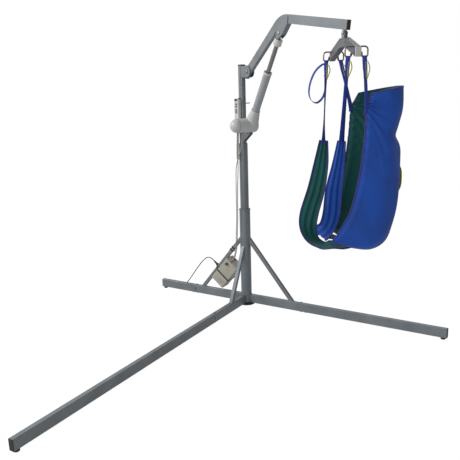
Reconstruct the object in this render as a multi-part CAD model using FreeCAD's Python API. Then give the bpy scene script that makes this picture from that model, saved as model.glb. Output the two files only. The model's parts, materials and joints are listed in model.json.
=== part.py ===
import FreeCAD, Part
import math
import os

# A floor-standing patient lift hoist, in millimetres.
# Origin: mast axis on the floor.  +X runs along the right leg, -Y along the front leg, +Z up.

V = FreeCAD.Vector
UP = V(0, 0, 1)
SIDE = V(0, 1, 0)

# ---- fits ----
WELD_GAP = 0.05         # parts that are welded together
SLIDE_FIT = 0.25        # one tube pushed into another
RUN_FIT = 0.05          # shaft turning in a bush, on the radius
BODY_GAP = 0.5          # faces that move past each other

# ---- base frame ----
FOOT_HEIGHT = 12.0
LEG_HEIGHT = 60.0
LEG_WIDTH = 30.0
LEG_WALL = 2.5
LEG_CORNER = 3.0
LEG_REACH = {"left": 768.0, "right": 1414.0, "front": 2094.0}
LEG_AZIMUTH = {"left": 180.0, "right": 0.0, "front": -90.0}
STUB_REACH = 412.0
SPIGOT_WALL = 3.0
SPIGOT_START = 300.0
SPIGOT_END = 560.0
LEG_TOP = FOOT_HEIGHT + LEG_HEIGHT
CAP_FLANGE = 4.0
CAP_PLUG = 22.0
FOOT_RADIUS = 15.0
FOOT_STUD = 5.0
FOOT_INSET = 22.0
PAD_RADIUS = 62.0

# ---- socket and mast ----
MAST_RADIUS = 30.0
MAST_WALL = 5.9
MAST_JOINT = 1165.0
MAST_OVERLAP = 120.0
MAST_FIT = 0.1          # upper tube in the lower one, on the radius
UPPER_RADIUS = MAST_RADIUS - MAST_WALL - MAST_FIT
UPPER_WALL = 3.0
BUSH_WALL = 4.7
BUSH_FLANGE = 10.0
BUSH_LENGTH = 50.0
CUP_FLOOR = 10.0
CUP_BASE = 60.0
CUP_LENGTH = 70.0
SOCKET_WALL = 3.0
SOCKET_RADIUS = MAST_RADIUS + RUN_FIT + BUSH_WALL + SLIDE_FIT + SOCKET_WALL
SOCKET_TOP = 695.0
UPPER_TOP = 1680.0
MAST_CAP = 7.0

# ---- braces ----
BRACE_SIZE = 25.0
BRACE_WALL = 2.0
BRACE_CORNER = 2.0
BRACE_SPARE = 60.0      # length left past both ends before they are cut to fit
BRACE_TOP = {"left": 525.0, "right": 525.0, "front": 484.0}
BRACE_FOOT = {"left": 375.0, "right": 365.0, "front": 216.0}

# ---- leg joint bolts ----
BOLT_RADIUS = 4.0
BOLT_LENGTH = 9.0
BOLT_HEAD = 5.5
BOLT_FLATS = 13.0
BOLT_PLACE = 437.0
BOLT_PITCH = 34.0

# ---- boom, in its own vertical plane: X outward from the mast, Y sideways, Z up ----
BOOM_AZIMUTH = -29.0
PIVOT_REACH = 70.0      # pivot in front of the mast's skin
PIVOT = V(UPPER_RADIUS + PIVOT_REACH, 0, 1639)
BOOM_HEIGHT = 50.0
BOOM_WIDTH = 25.0
BOOM_WALL = 2.5
BOOM_TAIL = 45.0
BOOM_RISE = 482.4
BOOM_RISE_ANGLE = 36.75
BOOM_ARM = 592.0
BOOM_ARM_DROP = 9.3
BOOM_BEND = 150.0
BOOM_CORNER = PIVOT + V(math.cos(math.radians(BOOM_RISE_ANGLE)), 0,
                        math.sin(math.radians(BOOM_RISE_ANGLE))) * BOOM_RISE
BOOM_END = BOOM_CORNER + V(math.cos(math.radians(BOOM_ARM_DROP)), 0,
                           -math.sin(math.radians(BOOM_ARM_DROP))) * BOOM_ARM
BOOM_CAP = 5.0
GUSSET_PLATE = 4.0
CLEVIS_PLATE = 5.0
CLEVIS_NOSE = 37.0
SPACER = 1.0
PIVOT_PIN_RADIUS = 8.0
PIVOT_BOSS_RADIUS = 12.0

# ---- actuator ----
LOWER_PIN_REACH = 49.0  # lower pin in front of the mast's skin
LOWER_PIN = V(UPPER_RADIUS + LOWER_PIN_REACH, 0, 1240)
UPPER_PIN_BACK = 17.525  # upper pin from the corner of the boom's centre line
UPPER_PIN_DROP = 79.632
UPPER_PIN = V(BOOM_CORNER.x - UPPER_PIN_BACK, 0, BOOM_CORNER.z - UPPER_PIN_DROP)
ACTUATOR_PIN_RADIUS = 6.0
TUBE_RADIUS = 25.0
TUBE_WALL = 3.0
TUBE_START = 70.0
TUBE_TOP = 446.0
GUIDE_RADIUS = TUBE_RADIUS + 2.0
GUIDE_RING = 12.0
GUIDE_DEPTH = 40.0
ROD_RADIUS = 14.0
ROD_BORE = 9.0
ROD_NECK = 9.5
ROD_LENGTH = 460.0
ROD_PLAY = 1.4          # the guide's clearance round the rod, on the radius
SCREW_RADIUS = 7.0
SCREW_TOP = 430.0
NUT_RADIUS = TUBE_RADIUS - TUBE_WALL - 3.0
NUT_LENGTH = 30.0
EYE_RADIUS = 14.0
ROD_HEAD_RADIUS = 26.0
ROD_HEAD_START = 40.0
ROD_HEAD_LENGTH = 42.0
MOTOR_RADIUS = 48.0
MOTOR_LENGTH = 157.0
MOTOR_HEIGHT = 62.0     # motor axis above the lower pin, along the actuator
NECK_TOP = 182.0
LUG_WIDTH = 16.0
LUG_RADIUS = 12.0
FORK_SWEEP = 38.0
FORK_SLOT = 36.0
BRACKET_PLATE = 5.0

# ---- hanger and spreader ----
HANGER_INSET = 28.744   # hanger pin back from the arm's end
HANGER_REACH = BOOM_END.x - HANGER_INSET
HANGER_DROP = 16.0      # hanger pin below the arm's underside
HANGER_PIN_RADIUS = 5.0
TAB_THICKNESS = 12.0
TAB_RADIUS = 8.5
FORK_PLATE = 5.0
FORK_RADIUS = 12.0
FORK_DEPTH = 22.0
FORK_FLOOR = 6.0
SWIVEL_RADIUS = 5.0
WASHER = 2.0
SPREADER_AZIMUTH = 36.0
BAR_WIDTH = 30.0
BAR_HEIGHT = 46.0
BAR_WALL = 2.5
BAR_CROWN = 45.0        # half of the level middle
BAR_REACH = 246.0
BAR_DROP = 60.0
BAR_CAP = 4.0
BAR_PLUG = 14.0
HOOK_WIRE = 4.0
HOOK_INSET = 30.0
HOOK_OUT = 56.0
HOOK_DEPTH = 50.0
HOOK_BEND = 16.0        # largest bend radius of the wire
HOOK_TIP = 26.0
HOOK_GAP = 7.0

# ---- handset ----
HANDSET_SIZE = V(55, 24, 150)
HANDSET_CORNER = 7.0
HANDSET_TOP = 1463.0
HOLDER_PLATE = 2.0
PEG_RADIUS = 3.0
PEG_HEIGHT = HANDSET_TOP - 29.0
BUTTON_SIZE = V(22, 3.0, 26)
BUTTON_TRAVEL = 1.5
COIL_RADIUS = 10.0
CABLE_RADIUS = 3.0

# ---- control box, hung under the left brace ----
BOX_START = 236.0       # along the brace, from its top
BOX_LENGTH = 112.0
BATTERY_LENGTH = 98.0
BOX_DEPTH = 116.0
BOX_WIDTH = 90.0
BOX_STANDOFF = 3.0
BOX_CORNER = 8.0
CLIP_WIDTH = 8.0
CLIP_THICKNESS = 3.0
STRAP_WIDTH = 10.0
STRAP_THICKNESS = 2.0
STOP_RADIUS = 11.0

# ---- mains lead ----
LEAD_RADIUS = 3.5
LEAD_COIL_RADIUS = 45.0
LEAD_COIL_BORE = 24.0
LEAD_COIL_HEIGHT = 28.0

# ---- sling ----
SLING_AZIMUTH = 31.5
SLING_THICKNESS = 6.0
WEB_WIDTH = 34.0
WEB_THICKNESS = 3.0


# ---------------------------------------------------------------- helpers

def span_box(x0, x1, y0, y1, z0, z1):
    return Part.makeBox(x1 - x0, y1 - y0, z1 - z0, V(x0, y0, z0))


def rod(start, end, radius):
    line = end - start
    return Part.makeCylinder(radius, line.Length, start, line)


def pipe(start, end, outer, inner):
    return rod(start, end, outer).cut(rod(start, end, inner))


def cone(start, end, r0, r1):
    line = end - start
    return Part.makeCone(r0, r1, line.Length, start, line)


def prism(points, y0, y1):
    """A flat outline of (x, z) points, pushed out along Y."""
    corners = [V(x, y0, z) for x, z in points]
    face = Part.Face(Part.makePolygon(corners + corners[:1]))
    return face.extrude(V(0, y1 - y0, 0))


def join(shapes):
    body = shapes[0].multiFuse(shapes[1:])
    return body.removeSplitter()


def group(shapes):
    return Part.makeCompound(shapes)


def turned(shape, degrees, axis=UP, centre=V(0, 0, 0)):
    copy = shape.copy()
    copy.rotate(centre, axis, degrees)
    return copy


def moved(shape, offset):
    copy = shape.copy()
    copy.translate(offset)
    return copy


def round_long_edges(shape, axis, radius):
    """Fillet the straight edges that run along axis."""
    edges = [e for e in shape.Edges if abs(abs(e.tangentAt(e.FirstParameter).dot(axis)) - 1) < 1e-6
             and e.Curve.TypeId == "Part::GeomLine"]
    return shape.makeFillet(radius, edges)


def square_tube(x0, x1, width, height, wall, corner):
    """A rectangular tube along X, centred on Y = Z = 0."""
    skin = span_box(x0, x1, -width / 2, width / 2, -height / 2, height / 2)
    skin = round_long_edges(skin, V(1, 0, 0), corner)
    hollow = span_box(x0, x1, wall - width / 2, width / 2 - wall, wall - height / 2, height / 2 - wall)
    return skin.cut(hollow)


def hex_prism(centre, axis, flats, height):
    corner = flats / math.sqrt(3)
    points = [V(corner * math.cos(math.radians(60 * i)), corner * math.sin(math.radians(60 * i)), 0)
              for i in range(7)]
    solid = Part.Face(Part.makePolygon(points)).extrude(V(0, 0, height))
    solid.Placement = FreeCAD.Placement(centre, FreeCAD.Rotation(UP, axis))
    return solid


def in_boom_plane(shape):
    return turned(shape, BOOM_AZIMUTH)


# ---------------------------------------------------------------- base frame

def on_leg(shape, name):
    """From the leg's own frame, X along the leg at mid height, to its place."""
    raised = moved(shape, V(0, 0, FOOT_HEIGHT + LEG_HEIGHT / 2))
    return turned(raised, LEG_AZIMUTH[name])


def leg_screw_places():
    """Head faces of one leg joint's screws: start point and outward axis."""
    top = LEG_HEIGHT / 2
    side = LEG_WIDTH / 2
    places = [(V(BOLT_PLACE, 0, top), UP), (V(BOLT_PLACE + 12, side, 0), SIDE)]
    places += [(V(BOLT_PLACE, 0, -top), -UP), (V(BOLT_PLACE + BOLT_PITCH, 0, -top), -UP)]
    return places


def leg_screw_holes():
    depth = BOLT_LENGTH + LEG_WALL
    return [rod(p + axis, p - axis * depth, BOLT_RADIUS + SLIDE_FIT) for p, axis in leg_screw_places()]


def leg_screw(place, axis):
    head = hex_prism(place, axis, BOLT_FLATS, BOLT_HEAD)
    shank = rod(place, place - axis * BOLT_LENGTH, BOLT_RADIUS)
    return join([head, shank])


def stub(name):
    tube = square_tube(0, STUB_REACH, LEG_WIDTH, LEG_HEIGHT, LEG_WALL, LEG_CORNER)
    tube = tube.cut(rod(V(0, 0, -LEG_HEIGHT), V(0, 0, LEG_HEIGHT), SOCKET_RADIUS + WELD_GAP))
    return on_leg(tube, name)


def leg(name):
    end = LEG_REACH[name] - CAP_FLANGE
    tube = square_tube(STUB_REACH + WELD_GAP, end, LEG_WIDTH, LEG_HEIGHT, LEG_WALL, LEG_CORNER)
    foot = end - FOOT_INSET
    tube = tube.cut(rod(V(foot, 0, -LEG_HEIGHT), V(foot, 0, 0), FOOT_STUD + SLIDE_FIT))
    for hole in leg_screw_holes():
        tube = tube.cut(hole)
    return on_leg(tube, name)


def spigot(name):
    inset = 2 * (LEG_WALL + SLIDE_FIT)
    width = LEG_WIDTH - inset
    height = LEG_HEIGHT - inset
    tube = square_tube(SPIGOT_START, SPIGOT_END, width, height, SPIGOT_WALL, 0.5)
    for hole in leg_screw_holes():
        tube = tube.cut(hole)
    return on_leg(tube, name)


def leg_end_cap(name):
    end = LEG_REACH[name]
    half_y = LEG_WIDTH / 2
    half_z = LEG_HEIGHT / 2
    flange = span_box(end - CAP_FLANGE, end, -half_y, half_y, -half_z, half_z)
    flange = round_long_edges(flange, V(1, 0, 0), LEG_CORNER)
    outer = [e for e in flange.Edges if e.BoundBox.XMin > end - 0.01]
    flange = flange.makeFillet(CAP_FLANGE / 2, outer)
    inset = LEG_WALL + SLIDE_FIT
    plug = span_box(end - CAP_FLANGE - CAP_PLUG + 10, end - CAP_FLANGE, inset - half_y, half_y - inset,
                    inset - half_z, half_z - inset)
    return on_leg(join([flange, plug]), name)


def leg_foot(name):
    x = LEG_REACH[name] - CAP_FLANGE - FOOT_INSET
    base = -LEG_HEIGHT / 2 - FOOT_HEIGHT
    pad = rod(V(x, 0, base), V(x, 0, -LEG_HEIGHT / 2), FOOT_RADIUS)
    edge = [e for e in pad.Edges if e.BoundBox.ZMax < base + 0.01]
    pad = pad.makeChamfer(2.0, edge)
    stud = rod(V(x, 0, -LEG_HEIGHT / 2), V(x, 0, -LEG_HEIGHT / 2 + 14), FOOT_STUD)
    return on_leg(join([pad, stud]), name)


def brace(name):
    """A square tube from the socket down to the top of its leg."""
    top = V(0, 0, BRACE_TOP[name])
    foot = V(BRACE_FOOT[name], 0, LEG_TOP)
    angle = math.degrees(math.atan2(top.z - foot.z, foot.x))
    tube = square_tube(-BRACE_SPARE, (foot - top).Length + BRACE_SPARE, BRACE_SIZE, BRACE_SIZE, BRACE_WALL,
                       BRACE_CORNER)
    tube = turned(tube, angle, SIDE)
    tube = moved(tube, top)
    low = foot.z + WELD_GAP
    keep = span_box(0, foot.x + BRACE_SPARE, -BRACE_SIZE, BRACE_SIZE, low, top.z + BRACE_SPARE)
    tube = tube.common(keep)
    tube = tube.cut(rod(V(0, 0, 0), V(0, 0, SOCKET_TOP), SOCKET_RADIUS + WELD_GAP))
    return turned(tube, LEG_AZIMUTH[name])


def floor_pad():
    pad = rod(V(0, 0, 0), V(0, 0, FOOT_HEIGHT), PAD_RADIUS)
    edges = [e for e in pad.Edges if e.Curve.TypeId == "Part::GeomCircle"]
    return pad.makeChamfer(1.5, edges)


def socket_tube():
    return pipe(V(0, 0, FOOT_HEIGHT), V(0, 0, SOCKET_TOP), SOCKET_RADIUS, SOCKET_RADIUS - SOCKET_WALL)


def socket_bushes():
    seat = SOCKET_RADIUS - SOCKET_WALL - SLIDE_FIT
    bore = MAST_RADIUS + RUN_FIT
    top = SOCKET_TOP + BUSH_FLANGE
    upper = pipe(V(0, 0, SOCKET_TOP - BUSH_LENGTH), V(0, 0, top), seat, bore)
    flange = pipe(V(0, 0, SOCKET_TOP), V(0, 0, top), SOCKET_RADIUS + 2, bore)
    cup = rod(V(0, 0, CUP_BASE), V(0, 0, CUP_BASE + CUP_LENGTH), seat)
    cup = cup.cut(rod(V(0, 0, CUP_BASE + CUP_FLOOR), V(0, 0, CUP_BASE + CUP_LENGTH), bore))
    return group([join([upper, flange]), cup])


# ---------------------------------------------------------------- mast

def mast_lower_tube():
    foot = CUP_BASE + CUP_FLOOR + RUN_FIT
    return pipe(V(0, 0, foot), V(0, 0, MAST_JOINT), MAST_RADIUS, MAST_RADIUS - MAST_WALL)


def mast_upper_tube():
    tube = pipe(V(0, 0, MAST_JOINT - MAST_OVERLAP), V(0, 0, UPPER_TOP), UPPER_RADIUS,
                UPPER_RADIUS - UPPER_WALL)
    hole = rod(V(0, -60, PEG_HEIGHT), V(0, 60, PEG_HEIGHT), PEG_RADIUS + RUN_FIT)
    return in_boom_plane(tube.cut(hole))


def mast_cap():
    dome = rod(V(0, 0, UPPER_TOP), V(0, 0, UPPER_TOP + MAST_CAP), UPPER_RADIUS + 1)
    rim = [e for e in dome.Edges if e.BoundBox.ZMin > UPPER_TOP + MAST_CAP - 0.01]
    dome = dome.makeFillet(3.0, rim)
    stem = rod(V(0, 0, UPPER_TOP - 15), V(0, 0, UPPER_TOP), UPPER_RADIUS - UPPER_WALL - SLIDE_FIT)
    return join([dome, stem])


def clevis_inner():
    return BOOM_WIDTH / 2 + SPACER


def clevis_outline(y0, y1, nose):
    bar = span_box(0, PIVOT.x, y0, y1, PIVOT.z - nose, PIVOT.z + nose)
    disc = rod(V(PIVOT.x, y0, PIVOT.z), V(PIVOT.x, y1, PIVOT.z), nose)
    return join([bar, disc])


def boom_clevis():
    plates = []
    for side in (-1, 1):
        inner = clevis_inner()
        outer = inner + CLEVIS_PLATE
        y0, y1 = sorted((side * inner, side * outer))
        plate = clevis_outline(y0, y1, CLEVIS_NOSE)
        plate = plate.cut(rod(V(0, 0, 0), V(0, 0, UPPER_TOP + 50), UPPER_RADIUS + WELD_GAP))
        plate = plate.cut(pivot_hole(PIVOT_PIN_RADIUS + SLIDE_FIT))
        plates.append(in_boom_plane(plate))
    return group(plates)


def pivot_hole(radius):
    return rod(V(PIVOT.x, -60, PIVOT.z), V(PIVOT.x, 60, PIVOT.z), radius)


def clevis_spacers():
    """Black wear sheets between the boom and the clevis plates."""
    sheets = []
    for side in (-1, 1):
        y0, y1 = sorted((side * (BOOM_WIDTH / 2 + 0.15), side * (clevis_inner() - WELD_GAP)))
        sheet = clevis_outline(y0, y1, CLEVIS_NOSE + 1.5)
        sheet = sheet.cut(rod(V(0, 0, 0), V(0, 0, UPPER_TOP + 50), UPPER_RADIUS + BODY_GAP))
        sheet = sheet.cut(pivot_hole(PIVOT_PIN_RADIUS + SLIDE_FIT))
        sheets.append(in_boom_plane(sheet))
    return group(sheets)


def headed_pin(centre, radius, reach, head_radius, head):
    """A cross pin with a domed head on the near side and a plain cap on the other."""
    shank = rod(V(centre.x, -reach, centre.z), V(centre.x, reach, centre.z), radius)
    near = rod(V(centre.x, -reach - head, centre.z), V(centre.x, -reach, centre.z), head_radius)
    rim = [e for e in near.Edges if e.BoundBox.YMax < -reach - head + 0.01]
    near = near.makeFillet(head * 0.8, rim)
    far = rod(V(centre.x, reach, centre.z), V(centre.x, reach + head, centre.z), head_radius)
    return join([shank, near, far])


def boom_pivot_pin():
    reach = clevis_inner() + CLEVIS_PLATE + WELD_GAP
    return in_boom_plane(headed_pin(PIVOT, PIVOT_PIN_RADIUS, reach, 13.0, 6.0))


def actuator_bracket():
    """Two cheeks on the mast that carry the actuator's lower pin."""
    cheeks = []
    back = UPPER_RADIUS * 0.5
    x, z = LOWER_PIN.x, LOWER_PIN.z
    outline = [(back, z + 12), (x + 20, z + 12), (x + 34, z + 2), (x + 34, z - 6), (back, z - 68)]
    inner = LUG_WIDTH / 2 + BODY_GAP
    for side in (-1, 1):
        y0, y1 = sorted((side * inner, side * (inner + BRACKET_PLATE)))
        cheek = prism(outline, y0, y1)
        cheek = cheek.cut(rod(V(0, 0, 0), V(0, 0, UPPER_TOP), UPPER_RADIUS + WELD_GAP))
        hole = rod(V(LOWER_PIN.x, -60, LOWER_PIN.z), V(LOWER_PIN.x, 60, LOWER_PIN.z),
                   ACTUATOR_PIN_RADIUS + SLIDE_FIT)
        cheeks.append(in_boom_plane(cheek.cut(hole)))
    return group(cheeks)


def bracket_pin():
    reach = LUG_WIDTH / 2 + BODY_GAP + BRACKET_PLATE + WELD_GAP
    pin = headed_pin(LOWER_PIN, ACTUATOR_PIN_RADIUS, reach, 8.0, 3.5)
    return in_boom_plane(pin)


# ---------------------------------------------------------------- handset

def handset_back():
    return -(UPPER_RADIUS + HOLDER_PLATE)


def handset_holder():
    """A plate on a peg through the mast, with a hook on each side of the handset's top."""
    y0 = -UPPER_RADIUS - HOLDER_PLATE
    plate = span_box(-14, 14, y0, y0 + HOLDER_PLATE - 0.3, PEG_HEIGHT - 20, HANDSET_TOP + 6)
    lip = span_box(-14, 14, y0 - HANDSET_SIZE.y - 2 * HOLDER_PLATE, y0, HANDSET_TOP + WELD_GAP,
                   HANDSET_TOP + HOLDER_PLATE)
    claw = span_box(-14, 14, y0 - HANDSET_SIZE.y - 2 * HOLDER_PLATE, y0 - HANDSET_SIZE.y - HOLDER_PLATE,
                    HANDSET_TOP - 12, HANDSET_TOP + HOLDER_PLATE)
    peg = rod(V(0, y0, PEG_HEIGHT), V(0, UPPER_RADIUS + 36, PEG_HEIGHT), PEG_RADIUS)
    return in_boom_plane(join([plate, lip, claw, peg]))


def handset_block():
    half = HANDSET_SIZE.x / 2
    back = handset_back() - WELD_GAP
    block = span_box(-half, half, back - HANDSET_SIZE.y, back, HANDSET_TOP - HANDSET_SIZE.z, HANDSET_TOP)
    block = round_long_edges(block, UP, HANDSET_CORNER)
    return block


def button_seat(level):
    """Centre of a key on the handset's front face."""
    return V(0, handset_back() - WELD_GAP - HANDSET_SIZE.y, HANDSET_TOP - level)


def button_block(level, grow, front, back):
    c = button_seat(level)
    x = BUTTON_SIZE.x / 2 + grow
    z = BUTTON_SIZE.z / 2 + grow
    return span_box(c.x - x, c.x + x, c.y - front, c.y + back, c.z - z, c.z + z)


BUTTON_LEVELS = {"button_up": 42.0, "button_down": 80.0}
BUTTON_DEPTH = 6.0


def handset_shell():
    shell = handset_block()
    for level in BUTTON_LEVELS.values():
        pocket = button_block(level, 0.4, 1.0, BUTTON_DEPTH + BUTTON_TRAVEL + 0.5)
        shell = shell.cut(pocket)
    return in_boom_plane(shell)


def handset_button(name):
    key = button_block(BUTTON_LEVELS[name], 0, BUTTON_SIZE.y, BUTTON_DEPTH)
    key = round_long_edges(key, SIDE, 4.0)
    return in_boom_plane(key)


# ---------------------------------------------------------------- boom

def boom_profile(half_height, half_width, spare):
    """The bent bar's side outline, with the bend as arcs, pushed out both ways."""
    corner = BOOM_CORNER
    d0 = (corner - PIVOT).normalize()
    d1 = (BOOM_END - corner).normalize()
    start = PIVOT - d0 * (BOOM_TAIL + spare)
    end = BOOM_END + d1 * spare
    turn = d0.getAngle(d1)
    back = BOOM_BEND * math.tan(turn / 2)
    n0 = V(-d0.z, 0, d0.x)
    n1 = V(-d1.z, 0, d1.x)
    mid = (n0 + n1).normalize()
    centre = corner - mid * (BOOM_BEND / math.cos(turn / 2))
    a = corner - d0 * back
    b = corner + d1 * back
    edges = []
    for side in (1, -1):
        h = side * half_height
        edges.append(Part.LineSegment(start + n0 * h, a + n0 * h).toShape())
        edges.append(Part.Arc(a + n0 * h, centre + mid * (BOOM_BEND + h), b + n1 * h).toShape())
        edges.append(Part.LineSegment(b + n1 * h, end + n1 * h).toShape())
    edges.append(Part.LineSegment(start + n0 * half_height, start - n0 * half_height).toShape())
    edges.append(Part.LineSegment(end + n1 * half_height, end - n1 * half_height).toShape())
    face = Part.Face(Part.Wire(Part.__sortEdges__(edges)))
    face.translate(V(0, -half_width, 0))
    return face.extrude(V(0, 2 * half_width, 0))


def boom_tube():
    skin = boom_profile(BOOM_HEIGHT / 2, BOOM_WIDTH / 2, 0)
    half = BOOM_WIDTH / 2
    hollow = boom_profile(BOOM_HEIGHT / 2 - BOOM_WALL, half - BOOM_WALL, 5)
    shell = skin.cut(hollow)
    boss = rod(V(PIVOT.x, -half, PIVOT.z), V(PIVOT.x, half, PIVOT.z), PIVOT_BOSS_RADIUS)
    shell = join([shell, boss]).cut(pivot_hole(PIVOT_PIN_RADIUS + RUN_FIT))
    return in_boom_plane(shell)


def arm_point(x, side):
    """A point on the arm's top (side 1) or underside (side -1) at distance x from the mast."""
    slope = math.tan(math.radians(BOOM_ARM_DROP))
    lift = side * BOOM_HEIGHT / 2 / math.cos(math.radians(BOOM_ARM_DROP))
    return V(x, 0, BOOM_CORNER.z - (x - BOOM_CORNER.x) * slope + lift)


def boom_gusset():
    """Cheeks over the inside of the bend, closed by a web, that hold the rod's pin."""
    u = UPPER_PIN
    tip = arm_point(u.x + 96, 1)
    heel = arm_point(u.x + 88, -1)
    nose = V(u.x + 30, 0, u.z - 16)
    toe = V(u.x - 4, 0, u.z - 34)
    back = V(u.x - 36, 0, u.z - 14)
    top = V(u.x - 10, 0, u.z + 40)
    outline = [(p.x, p.z) for p in (V(tip.x - 4, 0, tip.z - 10), heel, nose, toe, back, top)]
    inner = BOOM_WIDTH / 2 + WELD_GAP
    outer = inner + GUSSET_PLATE
    cheeks = [prism(outline, inner, outer), prism(outline, -outer, -inner)]
    strip = [(heel.x, heel.z - 0.5), (nose.x, nose.z), (nose.x - 4, nose.z + 1),
             (heel.x - 7, heel.z - 0.3)]
    web = prism(strip, -inner, inner)
    shape = join(cheeks + [web])
    hole = rod(V(u.x, -60, u.z), V(u.x, 60, u.z), ACTUATOR_PIN_RADIUS + SLIDE_FIT)
    tube = boom_profile(BOOM_HEIGHT / 2 + WELD_GAP, BOOM_WIDTH / 2 + WELD_GAP, 0)
    return in_boom_plane(shape.cut(hole).cut(tube))


def rod_pin():
    reach = BOOM_WIDTH / 2 + GUSSET_PLATE + 2 * WELD_GAP
    return in_boom_plane(headed_pin(UPPER_PIN, ACTUATOR_PIN_RADIUS, reach, 9.0, 6.0))


def boom_end_cap():
    along = (BOOM_END - BOOM_CORNER).normalize()
    half_y = BOOM_WIDTH / 2
    half_z = BOOM_HEIGHT / 2
    flange = span_box(0, BOOM_CAP, -half_y, half_y, -half_z, half_z)
    outer = [e for e in flange.Edges if e.BoundBox.XMin > BOOM_CAP - 0.01]
    flange = flange.makeFillet(3.0, outer)
    inset = BOOM_WALL + SLIDE_FIT
    plug = span_box(-CAP_PLUG, 0, inset - half_y, half_y - inset, inset - half_z, half_z - inset)
    cap = join([flange, plug])
    cap = turned(cap, BOOM_ARM_DROP, SIDE)
    return in_boom_plane(moved(cap, BOOM_END + along * WELD_GAP))


def hanger_pin_centre():
    under = arm_point(HANGER_REACH, -1)
    return V(HANGER_REACH, 0, under.z - HANGER_DROP)


def hanger_tab():
    c = hanger_pin_centre()
    half = TAB_THICKNESS / 2
    eye = rod(V(c.x, -half, c.z), V(c.x, half, c.z), TAB_RADIUS)
    neck = span_box(c.x - TAB_RADIUS, c.x + TAB_RADIUS, -half, half, c.z, c.z + HANGER_DROP + 10)
    tab = join([eye, neck])
    tube = boom_profile(BOOM_HEIGHT / 2 + WELD_GAP, BOOM_WIDTH / 2 + WELD_GAP, 0)
    tab = tab.cut(tube)
    hole = rod(V(c.x, -60, c.z), V(c.x, 60, c.z), HANGER_PIN_RADIUS + RUN_FIT)
    return in_boom_plane(tab.cut(hole))


# ---------------------------------------------------------------- actuator

def actuator_axis():
    return (UPPER_PIN - LOWER_PIN).normalize()


def on_actuator(shape):
    """From the actuator's frame, Z along it from the lower pin, to its place."""
    lean = math.degrees(UP.getAngle(actuator_axis()))
    tilted = turned(shape, lean, SIDE)
    return in_boom_plane(moved(tilted, LOWER_PIN))


def actuator_length():
    return (UPPER_PIN - LOWER_PIN).Length


def motor_barrel(height):
    """An egg lying along Y, turned from its half outline."""
    back = 38.0
    end = V(0, -MOTOR_LENGTH, 0)
    shoulder = V(0, -MOTOR_LENGTH + 48, MOTOR_RADIUS - 2)
    bulge = V(0, -MOTOR_LENGTH + 12, MOTOR_RADIUS * 0.63)
    rim = V(0, back - 14, MOTOR_RADIUS)
    curl = V(0, back - 3.5, MOTOR_RADIUS * 0.88)
    close = V(0, back, MOTOR_RADIUS * 0.7)
    edges = [Part.Arc(end, bulge, shoulder).toShape(), Part.LineSegment(shoulder, rim).toShape()]
    edges += [Part.Arc(rim, curl, close).toShape(), Part.LineSegment(close, V(0, back, 0)).toShape()]
    edges.append(Part.LineSegment(V(0, back, 0), end).toShape())
    half = Part.Face(Part.Wire(edges))
    return moved(half.revolve(V(0, 0, 0), SIDE, 360), V(0, 0, height))


def motor_housing():
    """Gear case round the foot of the tube, with the motor lying across it."""
    h = MOTOR_HEIGHT
    barrel = motor_barrel(h)
    neck = cone(V(0, 0, h + 18), V(0, 0, NECK_TOP), MOTOR_RADIUS - 2, TUBE_RADIUS + 2.5)
    case = join([barrel, neck])
    slot = rod(V(0, -FORK_SLOT / 2, 0), V(0, FORK_SLOT / 2, 0), FORK_SWEEP)
    case = case.cut(slot)
    lug = rod(V(0, -LUG_WIDTH / 2, 0), V(0, LUG_WIDTH / 2, 0), LUG_RADIUS)
    stem = span_box(-LUG_RADIUS, LUG_RADIUS, -LUG_WIDTH / 2, LUG_WIDTH / 2, 0, h)
    case = join([case, lug, stem])
    case = case.cut(rod(V(0, -60, 0), V(0, 60, 0), ACTUATOR_PIN_RADIUS + RUN_FIT))
    bore = rod(V(0, 0, TUBE_START), V(0, 0, NECK_TOP), TUBE_RADIUS + SLIDE_FIT)
    return on_actuator(case.cut(bore))


def actuator_tube():
    tube = pipe(V(0, 0, TUBE_START), V(0, 0, TUBE_TOP), TUBE_RADIUS, TUBE_RADIUS - TUBE_WALL)
    return on_actuator(tube)


def tube_guide():
    bore = ROD_RADIUS + ROD_PLAY
    ring = pipe(V(0, 0, TUBE_TOP), V(0, 0, TUBE_TOP + GUIDE_RING), GUIDE_RADIUS, bore)
    seat = TUBE_RADIUS - TUBE_WALL - SLIDE_FIT
    sleeve = pipe(V(0, 0, TUBE_TOP - GUIDE_DEPTH), V(0, 0, TUBE_TOP), seat, bore)
    return on_actuator(join([ring, sleeve]))


def drive_screw():
    screw = rod(V(0, 0, TUBE_START + 5), V(0, 0, SCREW_TOP), SCREW_RADIUS)
    bearing = rod(V(0, 0, TUBE_START), V(0, 0, TUBE_START + 8), TUBE_RADIUS - TUBE_WALL - SLIDE_FIT)
    return on_actuator(join([screw, bearing]))


def piston_rod():
    length = actuator_length()
    foot = length - ROD_LENGTH
    tube = rod(V(0, 0, foot), V(0, 0, length - ROD_HEAD_START), ROD_RADIUS)
    neck = rod(V(0, 0, length - ROD_HEAD_START - 8), V(0, 0, length), ROD_NECK)
    nut = rod(V(0, 0, foot), V(0, 0, foot + NUT_LENGTH), NUT_RADIUS)
    eye = rod(V(0, 1 - BOOM_WIDTH / 2, length), V(0, BOOM_WIDTH / 2 - 1, length), EYE_RADIUS)
    body = join([tube, neck, nut, eye])
    body = body.cut(rod(V(0, 0, foot - 1), V(0, 0, length - ROD_HEAD_START - 6), ROD_BORE))
    pin = rod(V(0, -60, length), V(0, 60, length), ACTUATOR_PIN_RADIUS + RUN_FIT)
    return on_actuator(body.cut(pin))


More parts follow.
